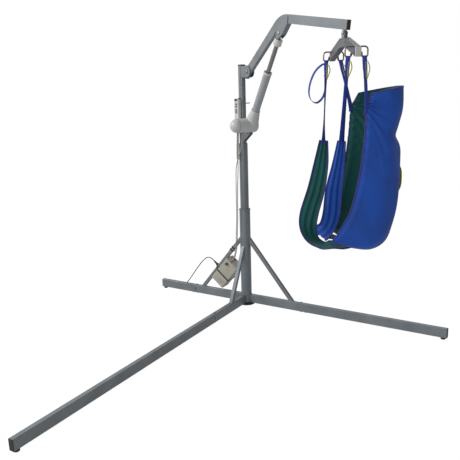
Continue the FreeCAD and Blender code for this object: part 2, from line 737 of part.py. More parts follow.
def rod_head():
    length = actuator_length()
    low = length - ROD_HEAD_START - ROD_HEAD_LENGTH
    head = rod(V(0, 0, low), V(0, 0, length - ROD_HEAD_START), ROD_HEAD_RADIUS)
    rims = [e for e in head.Edges if e.Curve.TypeId == "Part::GeomCircle"]
    head = head.makeFillet(5.0, rims)
    return on_actuator(head.cut(rod(V(0, 0, low), V(0, 0, length), ROD_RADIUS + WELD_GAP)))


# ---------------------------------------------------------------- hanger and spreader

def fork_floor_top():
    return hanger_pin_centre().z - TAB_RADIUS - 2.5 - 5.0


def hanger_fork():
    c = hanger_pin_centre()
    floor = fork_floor_top()
    inner = TAB_THICKNESS / 2 + BODY_GAP
    outer = inner + FORK_PLATE
    half = FORK_DEPTH / 2
    parts = [span_box(c.x - half, c.x + half, -outer, outer, floor - FORK_FLOOR, floor)]
    for side in (-1, 1):
        y0, y1 = sorted((side * inner, side * outer))
        eye = rod(V(c.x, y0, c.z), V(c.x, y1, c.z), FORK_RADIUS)
        plate = span_box(c.x - half, c.x + half, y0, y1, floor - FORK_FLOOR, c.z)
        parts += [eye, plate]
    fork = join(parts)
    fork = fork.cut(rod(V(c.x, -60, c.z), V(c.x, 60, c.z), HANGER_PIN_RADIUS + SLIDE_FIT))
    fork = fork.cut(rod(V(c.x, 0, floor - 20), V(c.x, 0, floor + 1), SWIVEL_RADIUS + RUN_FIT))
    return in_boom_plane(fork)


def hanger_pin():
    reach = TAB_THICKNESS / 2 + BODY_GAP + FORK_PLATE + WELD_GAP
    return in_boom_plane(headed_pin(hanger_pin_centre(), HANGER_PIN_RADIUS, reach, 8.0, 4.5))


def hub_point():
    """Top middle of the spreader bar, in place."""
    c = hanger_pin_centre()
    point = V(c.x, 0, fork_floor_top() - FORK_FLOOR - WASHER)
    angle = math.radians(BOOM_AZIMUTH)
    return V(point.x * math.cos(angle), point.x * math.sin(angle), point.z)


def on_spreader(shape):
    return moved(turned(shape, SPREADER_AZIMUTH), hub_point())


def swivel_bolt():
    """Low head inside the fork, thrust washer below it and a nut inside the bar."""
    head = rod(V(0, 0, WASHER + FORK_FLOOR + 0.2), V(0, 0, WASHER + FORK_FLOOR + 4.7), TAB_THICKNESS / 2)
    shank = rod(V(0, 0, -BAR_WALL - 12), V(0, 0, WASHER + FORK_FLOOR + 1), SWIVEL_RADIUS)
    washer = rod(V(0, 0, 0), V(0, 0, WASHER - 0.2), 12.0)
    nut = hex_prism(V(0, 0, -BAR_WALL - 10), UP, 17.0, 9.9)
    return on_spreader(join([head, shank, washer, nut]))


def bar_outline(half_height, grow):
    """Side outline of the spreader bar as (y, z), level in the middle and falling to each end."""
    slope = BAR_DROP / (BAR_REACH - BAR_CROWN)
    reach = BAR_REACH + grow
    fall = slope * (reach - BAR_CROWN)
    mid = -BAR_HEIGHT / 2
    top = [(-reach, mid - fall + half_height), (-BAR_CROWN, mid + half_height),
           (BAR_CROWN, mid + half_height), (reach, mid - fall + half_height)]
    low = [(y, z - 2 * half_height) for y, z in reversed(top)]
    return top + low


def bar_prism(half_height, half_width, grow):
    corners = [V(-half_width, y, z) for y, z in bar_outline(half_height, grow)]
    face = Part.Face(Part.makePolygon(corners + corners[:1]))
    return face.extrude(V(2 * half_width, 0, 0))


def hook_wire_place(side):
    """Where a hook wire crosses the top of the arm."""
    y = side * (BAR_REACH - HOOK_INSET)
    fall = BAR_DROP / (BAR_REACH - BAR_CROWN) * (BAR_REACH - HOOK_INSET - BAR_CROWN)
    return V(0, y, -fall - HOOK_WIRE - 2)


def spreader_bar():
    skin = bar_prism(BAR_HEIGHT / 2, BAR_WIDTH / 2, 0)
    hollow = bar_prism(BAR_HEIGHT / 2 - BAR_WALL, BAR_WIDTH / 2 - BAR_WALL, 5)
    bar = skin.cut(hollow)
    bar = bar.cut(rod(V(0, 0, -20), V(0, 0, 10), SWIVEL_RADIUS + WELD_GAP))
    for side in (-1, 1):
        place = hook_wire_place(side)
        bar = bar.cut(rod(place - V(60, 0, 0), place + V(60, 0, 0), HOOK_WIRE + SLIDE_FIT))
    return on_spreader(bar)


def spreader_end_caps():
    caps = []
    fall = BAR_DROP
    for side in (-1, 1):
        face = side * (BAR_REACH + BAR_CAP)
        y0, y1 = sorted((side * (BAR_REACH + WELD_GAP), face))
        half_x = BAR_WIDTH / 2
        plate = span_box(-half_x, half_x, y0, y1, -fall - BAR_HEIGHT, -fall)
        outer = [e for e in plate.Edges if abs(e.BoundBox.YMin - face) < 0.01
                 and abs(e.BoundBox.YMax - face) < 0.01]
        plate = plate.makeFillet(2.5, outer)
        inset = BAR_WALL + SLIDE_FIT
        p0, p1 = sorted((side * (BAR_REACH + WELD_GAP), side * (BAR_REACH - BAR_PLUG)))
        plug = span_box(inset - half_x, half_x - inset, p0, p1, inset + 5 - fall - BAR_HEIGHT,
                        -fall - inset - 1)
        caps.append(join([plate, plug]))
    return on_spreader(group(caps))


def tangent_path(points, radii=None):
    """Straight runs joined by tangent arcs.  Returns the wire, its radii and its length."""
    edges = []
    found = []
    last = points[0]
    for i in range(1, len(points) - 1):
        a, b, c = points[i - 1], points[i], points[i + 1]
        d0 = (b - a).normalize()
        d1 = (c - b).normalize()
        half = d0.getAngle(d1) / 2
        back = 0.45 * min((b - a).Length, (c - b).Length)
        radius = back / math.tan(half)
        if radii:
            radius = min(radius, radii)
            back = radius * math.tan(half)
        found.append(radius)
        p0 = b - d0 * back
        p1 = b + d1 * back
        centre = b + (d1 - d0).normalize() * (radius / math.cos(half))
        mid = centre + (b - centre).normalize() * radius
        edges.append(Part.LineSegment(last, p0).toShape())
        edges.append(Part.Arc(p0, mid, p1).toShape())
        last = p1
    edges.append(Part.LineSegment(last, points[-1]).toShape())
    wire = Part.Wire(edges)
    return wire, found, wire.Length


def swept_round(points, radius, radii=None):
    wire, found, length = tangent_path(points, radii)
    start = (points[1] - points[0]).normalize()
    circle = Part.Wire([Part.Circle(points[0], start, radius).toShape()])
    solid = wire.makePipeShell([circle], True, True, 2)
    return solid, found, length


def hook_points(side):
    """One wire, bent to a C on both sides of the arm, open towards the arm's underside."""
    place = hook_wire_place(side)
    z0 = place.z
    z1 = z0 - HOOK_DEPTH
    inner = BAR_WIDTH / 2 + HOOK_GAP + HOOK_WIRE
    right = [V(0, 0, z0), V(HOOK_OUT, 0, z0), V(HOOK_OUT, 0, z1), V(inner, 0, z1),
             V(inner, 0, z1 + HOOK_TIP)]
    left = [V(-p.x, 0, p.z) for p in reversed(right[1:])]
    return [V(p.x, place.y, p.z) for p in left + right[1:]]


def spreader_hooks():
    hooks = []
    for side in (-1, 1):
        hooks.append(swept_round(hook_points(side), HOOK_WIRE, HOOK_BEND)[0])
    return on_spreader(group(hooks))


def hook_seat(end, front):
    """World point at the bottom of a hook.  end is -1 near, 1 far; front is -1 or 1."""
    place = hook_wire_place(end)
    middle = (HOOK_OUT + BAR_WIDTH / 2 + HOOK_GAP + HOOK_WIRE) / 2
    point = V(front * middle, place.y, place.z - HOOK_DEPTH)
    angle = math.radians(SPREADER_AZIMUTH)
    turned_point = V(point.x * math.cos(angle) - point.y * math.sin(angle),
                     point.x * math.sin(angle) + point.y * math.cos(angle), point.z)
    return turned_point + hub_point()


# ---------------------------------------------------------------- sling

def sling_point(x, y, z):
    """From the sling's frame to its place.  X is towards the sitter's back, Y away from the near side."""
    hub = hub_point()
    angle = math.radians(SLING_AZIMUTH)
    return V(hub.x + x * math.cos(angle) - y * math.sin(angle),
             hub.y + x * math.sin(angle) + y * math.cos(angle), z)


# rows of the seat, from the head end down and forward: back x, back z, side x, side z, half width
SEAT_ROWS = [
    (305, 1522, 112, 1490, 150),
    (300, 1400, 96, 1452, 172),
    (276, 1278, 80, 1405, 192),
    (296, 1180, 70, 1250, 200),
    (294, 1000, 46, 1060, 204),
    (278, 830, 6, 900, 206),
    (240, 712, -28, 830, 202),
    (165, 662, -52, 782, 196),
    (80, 668, -72, 752, 188),
    (10, 694, -84, 738, 182),
]
SEAT_STEPS = 10


def seat_row(row, inset):
    """One U of the seat: points from the near side round the back to the far side."""
    back_x, back_z, side_x, side_z, width = row
    points = []
    for i in range(SEAT_STEPS + 1):
        t = math.pi * (i / SEAT_STEPS - 0.5)
        across = math.copysign(abs(math.sin(t)) ** 0.75, t)
        along = math.cos(t) ** 0.6 if i not in (0, SEAT_STEPS) else 0.0
        depth = V(back_x - side_x, 0, back_z - side_z)
        reach = depth.Length
        unit = V(depth.x / reach, 0, depth.z / reach)
        mid = V(side_x, 0, side_z)
        w = width - inset
        r = (reach - inset) * along
        point = mid + unit * r + V(0, w * across, 0)
        points.append(point)
    return points


def ruled_solid(loops):
    """A closed solid through equal loops of points, with flat facets and closed ends."""
    faces = []
    count = len(loops[0])
    for a, b in zip(loops, loops[1:]):
        for i in range(count):
            j = (i + 1) % count
            faces += facet(a[i], a[j], b[j])
            faces += facet(a[i], b[j], b[i])
    faces += cap_strip(loops[0])
    faces += cap_strip(loops[-1])
    shell = Part.makeShell(faces)
    shell.sewShape()
    solid = Part.makeSolid(Part.Shell(shell.Faces))
    if solid.Volume < 0:
        solid.reverse()
    return solid


def facet(a, b, c):
    return [Part.Face(Part.makePolygon([a, b, c, a]))]


def cap_strip(loop):
    """Close a loop made of an outer row and the reversed inner row."""
    half = len(loop) // 2
    faces = []
    for i in range(half - 1):
        a, b = loop[i], loop[i + 1]
        c, d = loop[-2 - i], loop[-1 - i]
        faces += facet(a, b, c)
        faces += facet(a, c, d)
    return faces


def sling_body():
    loops = []
    for row in SEAT_ROWS:
        outer = seat_row(row, 0)
        inner = seat_row(row, SLING_THICKNESS)
        loop = outer + list(reversed(inner))
        loops.append([sling_point(p.x, p.y, p.z) for p in loop])
    return ruled_solid(loops)


# a leg piece: centre x, y, z, half width, and the width's direction in the X-Y plane in degrees
LEG_PIECE_NEAR = [
    (-70, -98, 700, 74, 90),
    (-120, -84, 694, 66, 78),
    (-168, -50, 720, 56, 52),
    (-186, -12, 778, 50, 22),
    (-176, 14, 850, 50, 4),
    (-138, 22, 980, 46, 0),
    (-112, 26, 1120, 38, 0),
    (-98, 30, 1245, 22, 0),
]
LEG_PIECE_FAR = [
    (-70, 98, 704, 74, 90),
    (-104, 84, 706, 62, 102),
    (-112, 50, 722, 50, 128),
    (-78, 12, 768, 44, 158),
    (-58, -14, 850, 46, 176),
    (-48, -22, 980, 44, 180),
    (-26, -26, 1120, 32, 180),
    (-12, -30, 1245, 20, 180),
]


def leg_piece(rows):
    """A band of cloth that runs under the thigh and up between the legs."""
    centres = [V(r[0], r[1], r[2]) for r in rows]
    loops = []
    for i, row in enumerate(rows):
        before = centres[max(i - 1, 0)]
        after = centres[min(i + 1, len(rows) - 1)]
        along = (after - before).normalize()
        angle = math.radians(row[4])
        across = V(math.cos(angle), math.sin(angle), 0)
        across = (across - along * across.dot(along)).normalize()
        normal = along.cross(across).normalize()
        steps = [-1, -0.5, 0, 0.5, 1]
        outer = [centres[i] + across * (row[3] * s) + normal * (SLING_THICKNESS / 2) for s in steps]
        inner = [centres[i] + across * (row[3] * s) - normal * (SLING_THICKNESS / 2) for s in steps]
        loop = outer + list(reversed(inner))
        loops.append([sling_point(p.x, p.y, p.z) for p in loop])
    return ruled_solid(loops)


def web(points, width_axis):
    """A flat strap through world points, its width along one level direction."""
    loops = []
    for i, point in enumerate(points):
        before = points[max(i - 1, 0)]
        after = points[min(i + 1, len(points) - 1)]
        along = (after - before).normalize()
        across = (width_axis - along * width_axis.dot(along)).normalize()
        normal = along.cross(across).normalize()
        a = across * (WEB_WIDTH / 2)
        n = normal * (WEB_THICKNESS / 2)
        loops.append([point - a + n, point + a + n, point + a - n, point - a - n])
    return ruled_solid(loops)


STRAP_ENDS = {
    "leg_far_hook": (1, -1, (-98, 30, 1245)),
    "shoulder_far": (1, 1, (78, 188, 1418)),
    "leg_near_hook": (-1, -1, (-12, -30, 1245)),
    "shoulder_near": (-1, 1, (78, -188, 1418)),
}


def sling_straps():
    angle = math.radians(SPREADER_AZIMUTH)
    front_line = V(math.cos(angle), math.sin(angle), 0)
    straps = []
    for end, front, foot in STRAP_ENDS.values():
        seat = hook_seat(end, front) - UP * (HOOK_WIRE + WEB_THICKNESS / 2 + BODY_GAP)
        low = sling_point(*foot) + UP * (SLING_THICKNESS / 2 + 2)
        middle = (seat * 0.55) + (low * 0.45)
        straps.append(web([seat, middle, low], front_line))
    return group(straps)


def sling_handle():
    """A webbing grip sewn to the back of the sling at both ends."""
    out = 8.0
    points = [(304, 0, 1106), (312 + out, 0, 1092), (312 + out, 0, 980), (300, 0, 966)]
    across = V(-math.sin(math.radians(SLING_AZIMUTH)), math.cos(math.radians(SLING_AZIMUTH)), 0)
    return web([sling_point(*p) for p in points], across)


# ---------------------------------------------------------------- control box and leads

def on_left_brace(shape):
    """From the brace's frame, X down along it and Z out of its top face, to its place."""
    run = V(BRACE_FOOT["left"], 0, LEG_TOP - BRACE_TOP["left"])
    angle = math.degrees(math.atan2(-run.z, run.x))
    leaned = moved(turned(shape, angle, SIDE), V(0, 0, BRACE_TOP["left"]))
    return turned(leaned, LEG_AZIMUTH["left"])


def box_top():
    return -BRACE_SIZE / 2 - BOX_STANDOFF


def box_block(start, length):
    top = box_top() - WELD_GAP
    block = span_box(start, start + length, -BOX_WIDTH / 2, BOX_WIDTH / 2, top - BOX_DEPTH, top)
    return round_long_edges(block, V(1, 0, 0), BOX_CORNER)


def stop_place():
    """Centre of the stop button's hole in the side of the box."""
    return V(BOX_START + 30, BOX_WIDTH / 2, box_top() - 30)


def control_box():
    box = box_block(BOX_START, BOX_LENGTH)
    p = stop_place()
    box = box.cut(rod(p - SIDE * 14, p + SIDE, 6.5))
    return on_left_brace(box)


def stop_button():
    p = stop_place()
    stem = rod(p - SIDE * 8, p + SIDE * 6, 6.0)
    head = rod(p + SIDE * 6, p + SIDE * 13, STOP_RADIUS)
    rim = [e for e in head.Edges if e.BoundBox.YMin > p.y + 12.9]
    return on_left_brace(join([stem, head.makeFillet(3.0, rim)]))


def battery():
    return on_left_brace(box_block(BOX_START + BOX_LENGTH + BODY_GAP, BATTERY_LENGTH))


def box_mount():
    """A steel plate between the brace and the box."""
    top = -BRACE_SIZE / 2 - WELD_GAP
    plate = span_box(BOX_START + 8, BOX_START + BOX_LENGTH + BATTERY_LENGTH - 8, -18, 18, box_top(), top)
    return on_left_brace(plate)


def box_strap():
    """A thin band round the battery and over the brace, that holds both up."""
    start = BOX_START + BOX_LENGTH + 10
    top = BRACE_SIZE / 2 + STRAP_THICKNESS
    low = box_top() - BOX_DEPTH - WELD_GAP - STRAP_THICKNESS
    half = BOX_WIDTH / 2 + STRAP_THICKNESS
    flat = [V(start, -half, box_top()), V(start, -16, top), V(start, 16, top), V(start, half, box_top()),
            V(start, half, low), V(start, -half, low)]
    band = Part.Face(Part.makePolygon(flat + flat[:1]))
    inner = band.makeOffset2D(-STRAP_THICKNESS + 0.2)
    return band.cut(inner).extrude(V(STRAP_WIDTH, 0, 0))


def cable_clips():
    clips = []
    inner = BRACE_SIZE / 2 + WELD_GAP
    outer = BRACE_SIZE / 2 + CLIP_THICKNESS
    for x in (BOX_START - 88, BOX_START - 64):
        band = span_box(x, x + CLIP_WIDTH, -outer, outer, -outer, outer)
        clips.append(band.cut(span_box(x - 1, x + CLIP_WIDTH + 1, -inner, inner, -inner, inner)))
    return on_left_brace(group(clips + [box_strap()]))


def brace_frame_point(x, y, z):
    point = Part.Vertex(x, y, z)
    return on_left_brace(point).Point


def report_cord(name, solid, found, length, radius):
    share = solid.Volume / (math.pi * radius * radius * length)
    text = ", ".join("%.0f" % r for r in found)
    print("%s: length %.0f mm, radii %s, volume share %.3f" % (name, length, text, share))


def cord(name, points, radius):
    solid, found, length = swept_round(points, radius)
    report_cord(name, solid, found, length, radius)
    return solid


CABLE_OUT = {"handset": 58.0, "actuator": 67.0}
COIL_END = 1050.0
COIL_END_OUT = 46.0
CABLE_SPLIT = SOCKET_TOP + BUSH_FLANGE + 6.0


def boom_frame_point(x, y, z):
    angle = math.radians(BOOM_AZIMUTH)
    return V(x * math.cos(angle) - y * math.sin(angle), x * math.sin(angle) + y * math.cos(angle), z)


def handset_coil():
    top = V(0, -40, HANDSET_TOP - HANDSET_SIZE.z)
    low = V(0, -COIL_END_OUT, COIL_END)
    points = [boom_frame_point(*p) for p in (top, top - UP * 80, low + UP * 80, low)]
    return cord("handset_coil", points, COIL_RADIUS)


def handset_cable_upper():
    out = CABLE_OUT["handset"]
    places = [(0, -COIL_END_OUT, COIL_END), (0, -COIL_END_OUT, COIL_END - 60), (0, -out + 3, 860),
              (0, -out, CABLE_SPLIT)]
    return cord("handset_cable_upper", [boom_frame_point(*p) for p in places], CABLE_RADIUS)


def actuator_cable_motor():
    places = [(92, -62, 1256), (94, -62, 1215), (84, -62, 1178)]
    return cord("actuator_cable_motor", [boom_frame_point(*p) for p in places], CABLE_RADIUS)


def actuator_cable_upper():
    out = CABLE_OUT["actuator"]
    places = [(83.3, -62, 1175.4), (72, -62, 1133.6), (34, -64, 1075), (4, -out + 2, 1000),
              (0, -out + 1, 880), (0, -out, CABLE_SPLIT)]
    return cord("actuator_cable_upper", [boom_frame_point(*p) for p in places], CABLE_RADIUS)


def lower_cable(name, out, shift):
    top = boom_frame_point(0, -out, CABLE_SPLIT - BODY_GAP)
    gland = brace_frame_point(BOX_START, shift, box_top() - 42)
    into = (brace_frame_point(BOX_START + 10, shift, box_top() - 42) - gland).normalize()
    knee = V(top.x - 7, top.y - 1, 540)
    hip = V(top.x - 16, top.y + 6, 425)
    points = [top, V(top.x - 1, top.y, 640), knee, hip, gland - into * 38, gland]
    return cord(name, points, CABLE_RADIUS)


def plug_place():
    return BOX_START + BOX_LENGTH + 34, 31.0


def mains_inlet_plug():
    """The lead's connector, pushed into the top of the box beside the brace."""
    x, y = plug_place()
    base = V(x, -y, box_top())
    body = rod(base, base + UP * 48, 11.0)
    sleeve = cone(base + UP * 48, base + UP * 84, 9.5, LEAD_RADIUS + 1.0)
    return on_left_brace(join([body, sleeve]))


LEAD_COIL_CENTRE = V(-640, 74, 0)


def mains_lead():
    x, y = plug_place()
    start = brace_frame_point(x, -y, box_top() + 84)
    ahead = (brace_frame_point(x, -y, box_top() + 124) - start).normalize()
    points = [start, start + ahead * 34, V(-366, 35, 292), V(-430, 42, 230), V(-492, 46, 150),
              V(-548, 42, 72), V(-592, 34, 28), V(-634, 32.5, LEAD_COIL_HEIGHT - LEAD_RADIUS)]
    return cord("mains_lead", points, LEAD_RADIUS)


def mains_coil():
    c = LEAD_COIL_CENTRE
    ring = pipe(c, c + UP * LEAD_COIL_HEIGHT, LEAD_COIL_RADIUS, LEAD_COIL_BORE)
    return ring.makeFillet(4.0, [e for e in ring.Edges if e.Curve.TypeId == "Part::GeomCircle"])


def mains_plug():
    y = LEAD_COIL_CENTRE.y + LEAD_COIL_RADIUS - LEAD_RADIUS
    x = LEAD_COIL_CENTRE.x + 42
    body = span_box(x, x + 42, y - 14, y + 14, 0, 24)
    body = round_long_edges(body, V(1, 0, 0), 4.0)
    relief = rod(V(x - 13, y, 12), V(x, y, 12), 6.0)
    lead = rod(V(x - 30, y, 12), V(x - 13, y, 12), LEAD_RADIUS)
    pins = [rod(V(x + 42, y + dy, 12), V(x + 60, y + dy, 12), 2.4) for dy in (-9.5, 9.5)]
    return join([body, relief, lead] + pins)


# ---------------------------------------------------------------- export

def all_parts():
    names = ("left", "right", "front")
    parts = {"floor_pad": floor_pad(), "socket_tube": socket_tube(), "socket_bushes": socket_bushes()}
    parts["hub_stubs"] = group([stub(name) for name in names])
    parts["leg_spigots"] = group([spigot(name) for name in names])
    parts["leg_feet"] = group([leg_foot(name) for name in names])
    parts["braces"] = group([brace(name) for name in names])
    parts["leg_cap_left"] = leg_end_cap("left")
    parts["leg_caps_long"] = group([leg_end_cap(name) for name in ("right", "front")])
    screws = []
    for name in names:
        parts["leg_" + name] = leg(name)
        screws += [on_leg(leg_screw(p, axis), name) for p, axis in leg_screw_places()]
    parts["leg_screws"] = group(screws)
    parts["mast_lower_tube"] = mast_lower_tube()
    parts["mast_upper_tube"] = mast_upper_tube()
    parts["mast_cap"] = mast_cap()
    parts["boom_clevis"] = boom_clevis()
    parts["clevis_spacers"] = clevis_spacers()
    parts["boom_pivot_pin"] = boom_pivot_pin()
    parts["actuator_bracket"] = actuator_bracket()
    parts["bracket_pin"] = bracket_pin()
    parts["handset_holder"] = handset_holder()
    parts["handset_shell"] = handset_shell()
    for name in BUTTON_LEVELS:
        parts["handset_" + name] = handset_button(name)
    parts["handset_coil"] = handset_coil()
    parts["mast_cables"] = group([handset_cable_upper(), actuator_cable_upper()])
    parts["boom_tube"] = boom_tube()
    parts["boom_gusset"] = boom_gusset()
    parts["boom_end_cap"] = boom_end_cap()
    parts["hanger_tab"] = hanger_tab()
    parts["rod_pin"] = rod_pin()
    parts["motor_housing"] = motor_housing()
    parts["actuator_tube"] = actuator_tube()
    parts["tube_guide"] = tube_guide()
    parts["drive_screw"] = drive_screw()
    parts["actuator_cable_motor"] = actuator_cable_motor()
    parts["piston_rod"] = piston_rod()
    parts["rod_head"] = rod_head()
    parts["hanger_fork"] = hanger_fork()
    parts["hanger_pin"] = hanger_pin()
    parts["swivel_bolt"] = swivel_bolt()
    parts["spreader_bar"] = spreader_bar()
    parts["spreader_end_caps"] = spreader_end_caps()
    parts["spreader_hooks"] = spreader_hooks()
    parts["sling_body"] = sling_body()
    parts["sling_leg_near"] = leg_piece(LEG_PIECE_NEAR)
    parts["sling_leg_far"] = leg_piece(LEG_PIECE_FAR)
    parts["sling_straps"] = sling_straps()
    parts["sling_handle"] = sling_handle()
    parts["box_mount"] = box_mount()
    parts["control_box"] = control_box()
    parts["battery"] = battery()
    parts["stop_button"] = stop_button()
    parts["cable_clips"] = cable_clips()
    lower = [lower_cable("handset_cable_lower", CABLE_OUT["handset"], 16)]
    lower.append(lower_cable("actuator_cable_lower", CABLE_OUT["actuator"], 30))
    parts["base_cables"] = group(lower)
    parts["mains_inlet_plug"] = mains_inlet_plug()
    parts["mains_lead"] = mains_lead()
    parts["mains_coil"] = mains_coil()
    parts["mains_plug"] = mains_plug()
    return parts


def export():
    os.makedirs("parts", exist_ok=True)
    parts = all_parts()
    for name, shape in parts.items():
        if not shape.isValid():
            print("not valid:", name)
        shape.exportStep("parts/%s.step" % name)
    print("parts:", len(parts))


export()
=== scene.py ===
import json
import math

import bmesh
import bpy
from mathutils import Matrix, Vector, noise


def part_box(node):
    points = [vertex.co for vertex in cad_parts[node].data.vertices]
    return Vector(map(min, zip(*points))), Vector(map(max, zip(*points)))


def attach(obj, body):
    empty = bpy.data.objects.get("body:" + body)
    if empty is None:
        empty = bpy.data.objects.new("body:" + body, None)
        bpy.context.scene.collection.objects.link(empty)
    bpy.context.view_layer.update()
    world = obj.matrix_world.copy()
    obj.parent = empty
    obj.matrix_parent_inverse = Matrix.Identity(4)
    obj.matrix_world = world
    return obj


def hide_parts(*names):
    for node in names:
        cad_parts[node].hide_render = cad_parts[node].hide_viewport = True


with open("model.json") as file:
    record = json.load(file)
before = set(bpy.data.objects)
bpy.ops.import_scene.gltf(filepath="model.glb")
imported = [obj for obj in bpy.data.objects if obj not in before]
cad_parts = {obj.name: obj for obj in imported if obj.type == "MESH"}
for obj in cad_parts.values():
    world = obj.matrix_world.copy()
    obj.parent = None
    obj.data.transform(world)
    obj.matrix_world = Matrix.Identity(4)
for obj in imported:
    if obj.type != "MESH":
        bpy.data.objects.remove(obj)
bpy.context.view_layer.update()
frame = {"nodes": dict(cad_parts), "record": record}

bl_info = {
    "name": "Patient Lift Hoist",
    "version": (1, 0, 0),
    "blender": (4, 5, 0),
    "location": "3D View > Sidebar > Hoist",
    "description": "Finishes, sling, cables and studio for a floor-standing patient lift hoist",
    "category": "Object",
}


# ---- places, in metres ----

def centre_of(node):
    low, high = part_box(node)
    return (low + high) / 2


HUB = centre_of("swivel_bolt")
BOOM_AZIMUTH = math.radians(-29)
SPREADER_AZIMUTH = math.radians(36)
SLING_AZIMUTH = math.radians(31.5)


def boom_point(x, y, z):
    c, s = math.cos(BOOM_AZIMUTH), math.sin(BOOM_AZIMUTH)
    return Vector((x * c - y * s, x * s + y * c, z))


def spreader_point(x, y, z):
    c, s = math.cos(SPREADER_AZIMUTH), math.sin(SPREADER_AZIMUTH)
    return Vector((HUB.x + x * c - y * s, HUB.y + x * s + y * c, z))


def sling_point(x, y, z):
    c, s = math.cos(SLING_AZIMUTH), math.sin(SLING_AZIMUTH)
    return Vector((HUB.x + x * c - y * s, HUB.y + x * s + y * c, z))


# ---- materials ----

class Nodes:
    """One material's node tree, with its shader's sockets by name."""

    def __init__(self, name):
        self.material = bpy.data.materials.new(name)
        self.material.use_nodes = True
        self.tree = self.material.node_tree
        self.shader = next(n for n in self.tree.nodes if n.type == "BSDF_PRINCIPLED")

    def add(self, kind, **values):
        node = self.tree.nodes.new(kind)
        for key, value in values.items():
            if hasattr(node, key):
                setattr(node, key, value)
            else:
                node.inputs[key].default_value = value
        return node

    def link(self, source, target):
        self.tree.links.new(source, target)

    def place(self, scale=(1, 1, 1), spin=(0, 0, 0)):
        coords = self.add("ShaderNodeTexCoord")
        mapping = self.add("ShaderNodeMapping")
        mapping.inputs["Scale"].default_value = scale
        mapping.inputs["Rotation"].default_value = spin
        self.link(coords.outputs["Object"], mapping.inputs["Vector"])
        return mapping.outputs["Vector"]

    def noise(self, scale, detail=3.0, vector=None):
        node = self.add("ShaderNodeTexNoise")
        node.inputs["Scale"].default_value = scale
        node.inputs["Detail"].default_value = detail
        self.link(vector or self.place(), node.inputs["Vector"])
        return node.outputs["Fac"]

    def ramp(self, source, low, high, start=0.35, end=0.65):
        node = self.add("ShaderNodeValToRGB")
        node.color_ramp.elements[0].position = start
        node.color_ramp.elements[1].position = end
        node.color_ramp.elements[0].color = (*low, 1)
        node.color_ramp.elements[1].color = (*high, 1)
        self.link(source, node.inputs["Fac"])
        return node.outputs["Color"]

    def spread(self, source, low, high, socket):
        node = self.add("ShaderNodeMapRange")
        node.inputs["To Min"].default_value = low
        node.inputs["To Max"].default_value = high
        self.link(source, node.inputs["Value"])
        self.link(node.outputs["Result"], self.shader.inputs[socket])

    def relief(self, height, strength, distance, round_edges=0.0):
        bump = self.add("ShaderNodeBump")
        bump.inputs["Strength"].default_value = strength
        bump.inputs["Distance"].default_value = distance
        self.link(height, bump.inputs["Height"])
        if round_edges:
            bevel = self.add("ShaderNodeBevel", samples=4)
            bevel.inputs["Radius"].default_value = round_edges
            self.link(bevel.outputs["Normal"], bump.inputs["Normal"])
        self.link(bump.outputs["Normal"], self.shader.inputs["Normal"])


def hard_finish(name, color, rough=0.4, metal=0.0, grain=900.0, depth=0.00005, wear=0.06, coat=0.0,
                edge=0.001):
    """Paint, plastic, rubber or metal: mottled colour, uneven roughness and a fine grain."""
    m = Nodes(name)
    dark = tuple(c * (1 - wear) for c in color)
    light = tuple(min(1.0, c * (1 + wear)) for c in color)
    m.link(m.ramp(m.noise(9.0), dark, light), m.shader.inputs["Base Color"])
    m.spread(m.noise(55.0, 5.0), max(0.05, rough - 0.08), rough + 0.1, "Roughness")
    m.shader.inputs["Metallic"].default_value = metal
    m.shader.inputs["Coat Weight"].default_value = coat
    m.relief(m.noise(grain, 2.0), 0.35, depth, edge)
    return m.material


def brushed_finish(name, color, rough=0.3):
    """Turned or drawn metal: fine streaks round the part."""
    m = Nodes(name)
    streaks = m.noise(40.0, 6.0, m.place((1, 1, 60)))
    m.link(m.ramp(streaks, tuple(c * 0.86 for c in color), color), m.shader.inputs["Base Color"])
    m.spread(streaks, rough - 0.08, rough + 0.12, "Roughness")
    m.shader.inputs["Metallic"].default_value = 1.0
    m.relief(streaks, 0.2, 0.00005, 0.0006)
    return m.material


def cloth_finish(name, color, pitch=900.0, depth=0.0003, rough=0.75, sheen=0.08):
    """Woven cloth: two crossed thread waves over a slow change of shade."""
    m = Nodes(name)
    waves = []
    for spin in ((0, 0, 0), (0, 0, math.pi / 2)):
        wave = m.add("ShaderNodeTexWave", wave_type="BANDS", bands_direction="DIAGONAL")
        wave.inputs["Scale"].default_value = pitch / 6
        wave.inputs["Distortion"].default_value = 0.6
        m.link(m.place((1, 1, 1), spin), wave.inputs["Vector"])
        waves.append(wave.outputs["Fac"])
    weave = m.add("ShaderNodeMath", operation="MULTIPLY")
    m.link(waves[0], weave.inputs[0])
    m.link(waves[1], weave.inputs[1])
    slow = m.noise(7.0, 4.0)
    base = m.ramp(slow, tuple(c * 0.78 for c in color), tuple(min(1, c * 1.12) for c in color), 0.3, 0.7)
    mix = m.add("ShaderNodeMix", data_type="RGBA", blend_type="MULTIPLY")
    mix.inputs[0].default_value = 0.35
    m.link(base, mix.inputs[6])
    m.link(m.ramp(weave.outputs[0], (0.7, 0.7, 0.7), (1, 1, 1), 0.05, 0.6), mix.inputs[7])
    m.link(mix.outputs[2], m.shader.inputs["Base Color"])
    m.spread(slow, rough - 0.06, rough + 0.08, "Roughness")
    m.shader.inputs["Sheen Weight"].default_value = sheen
    m.shader.inputs["Sheen Roughness"].default_value = 0.45
    m.relief(weave.outputs[0], 0.5, depth)
    return m.material


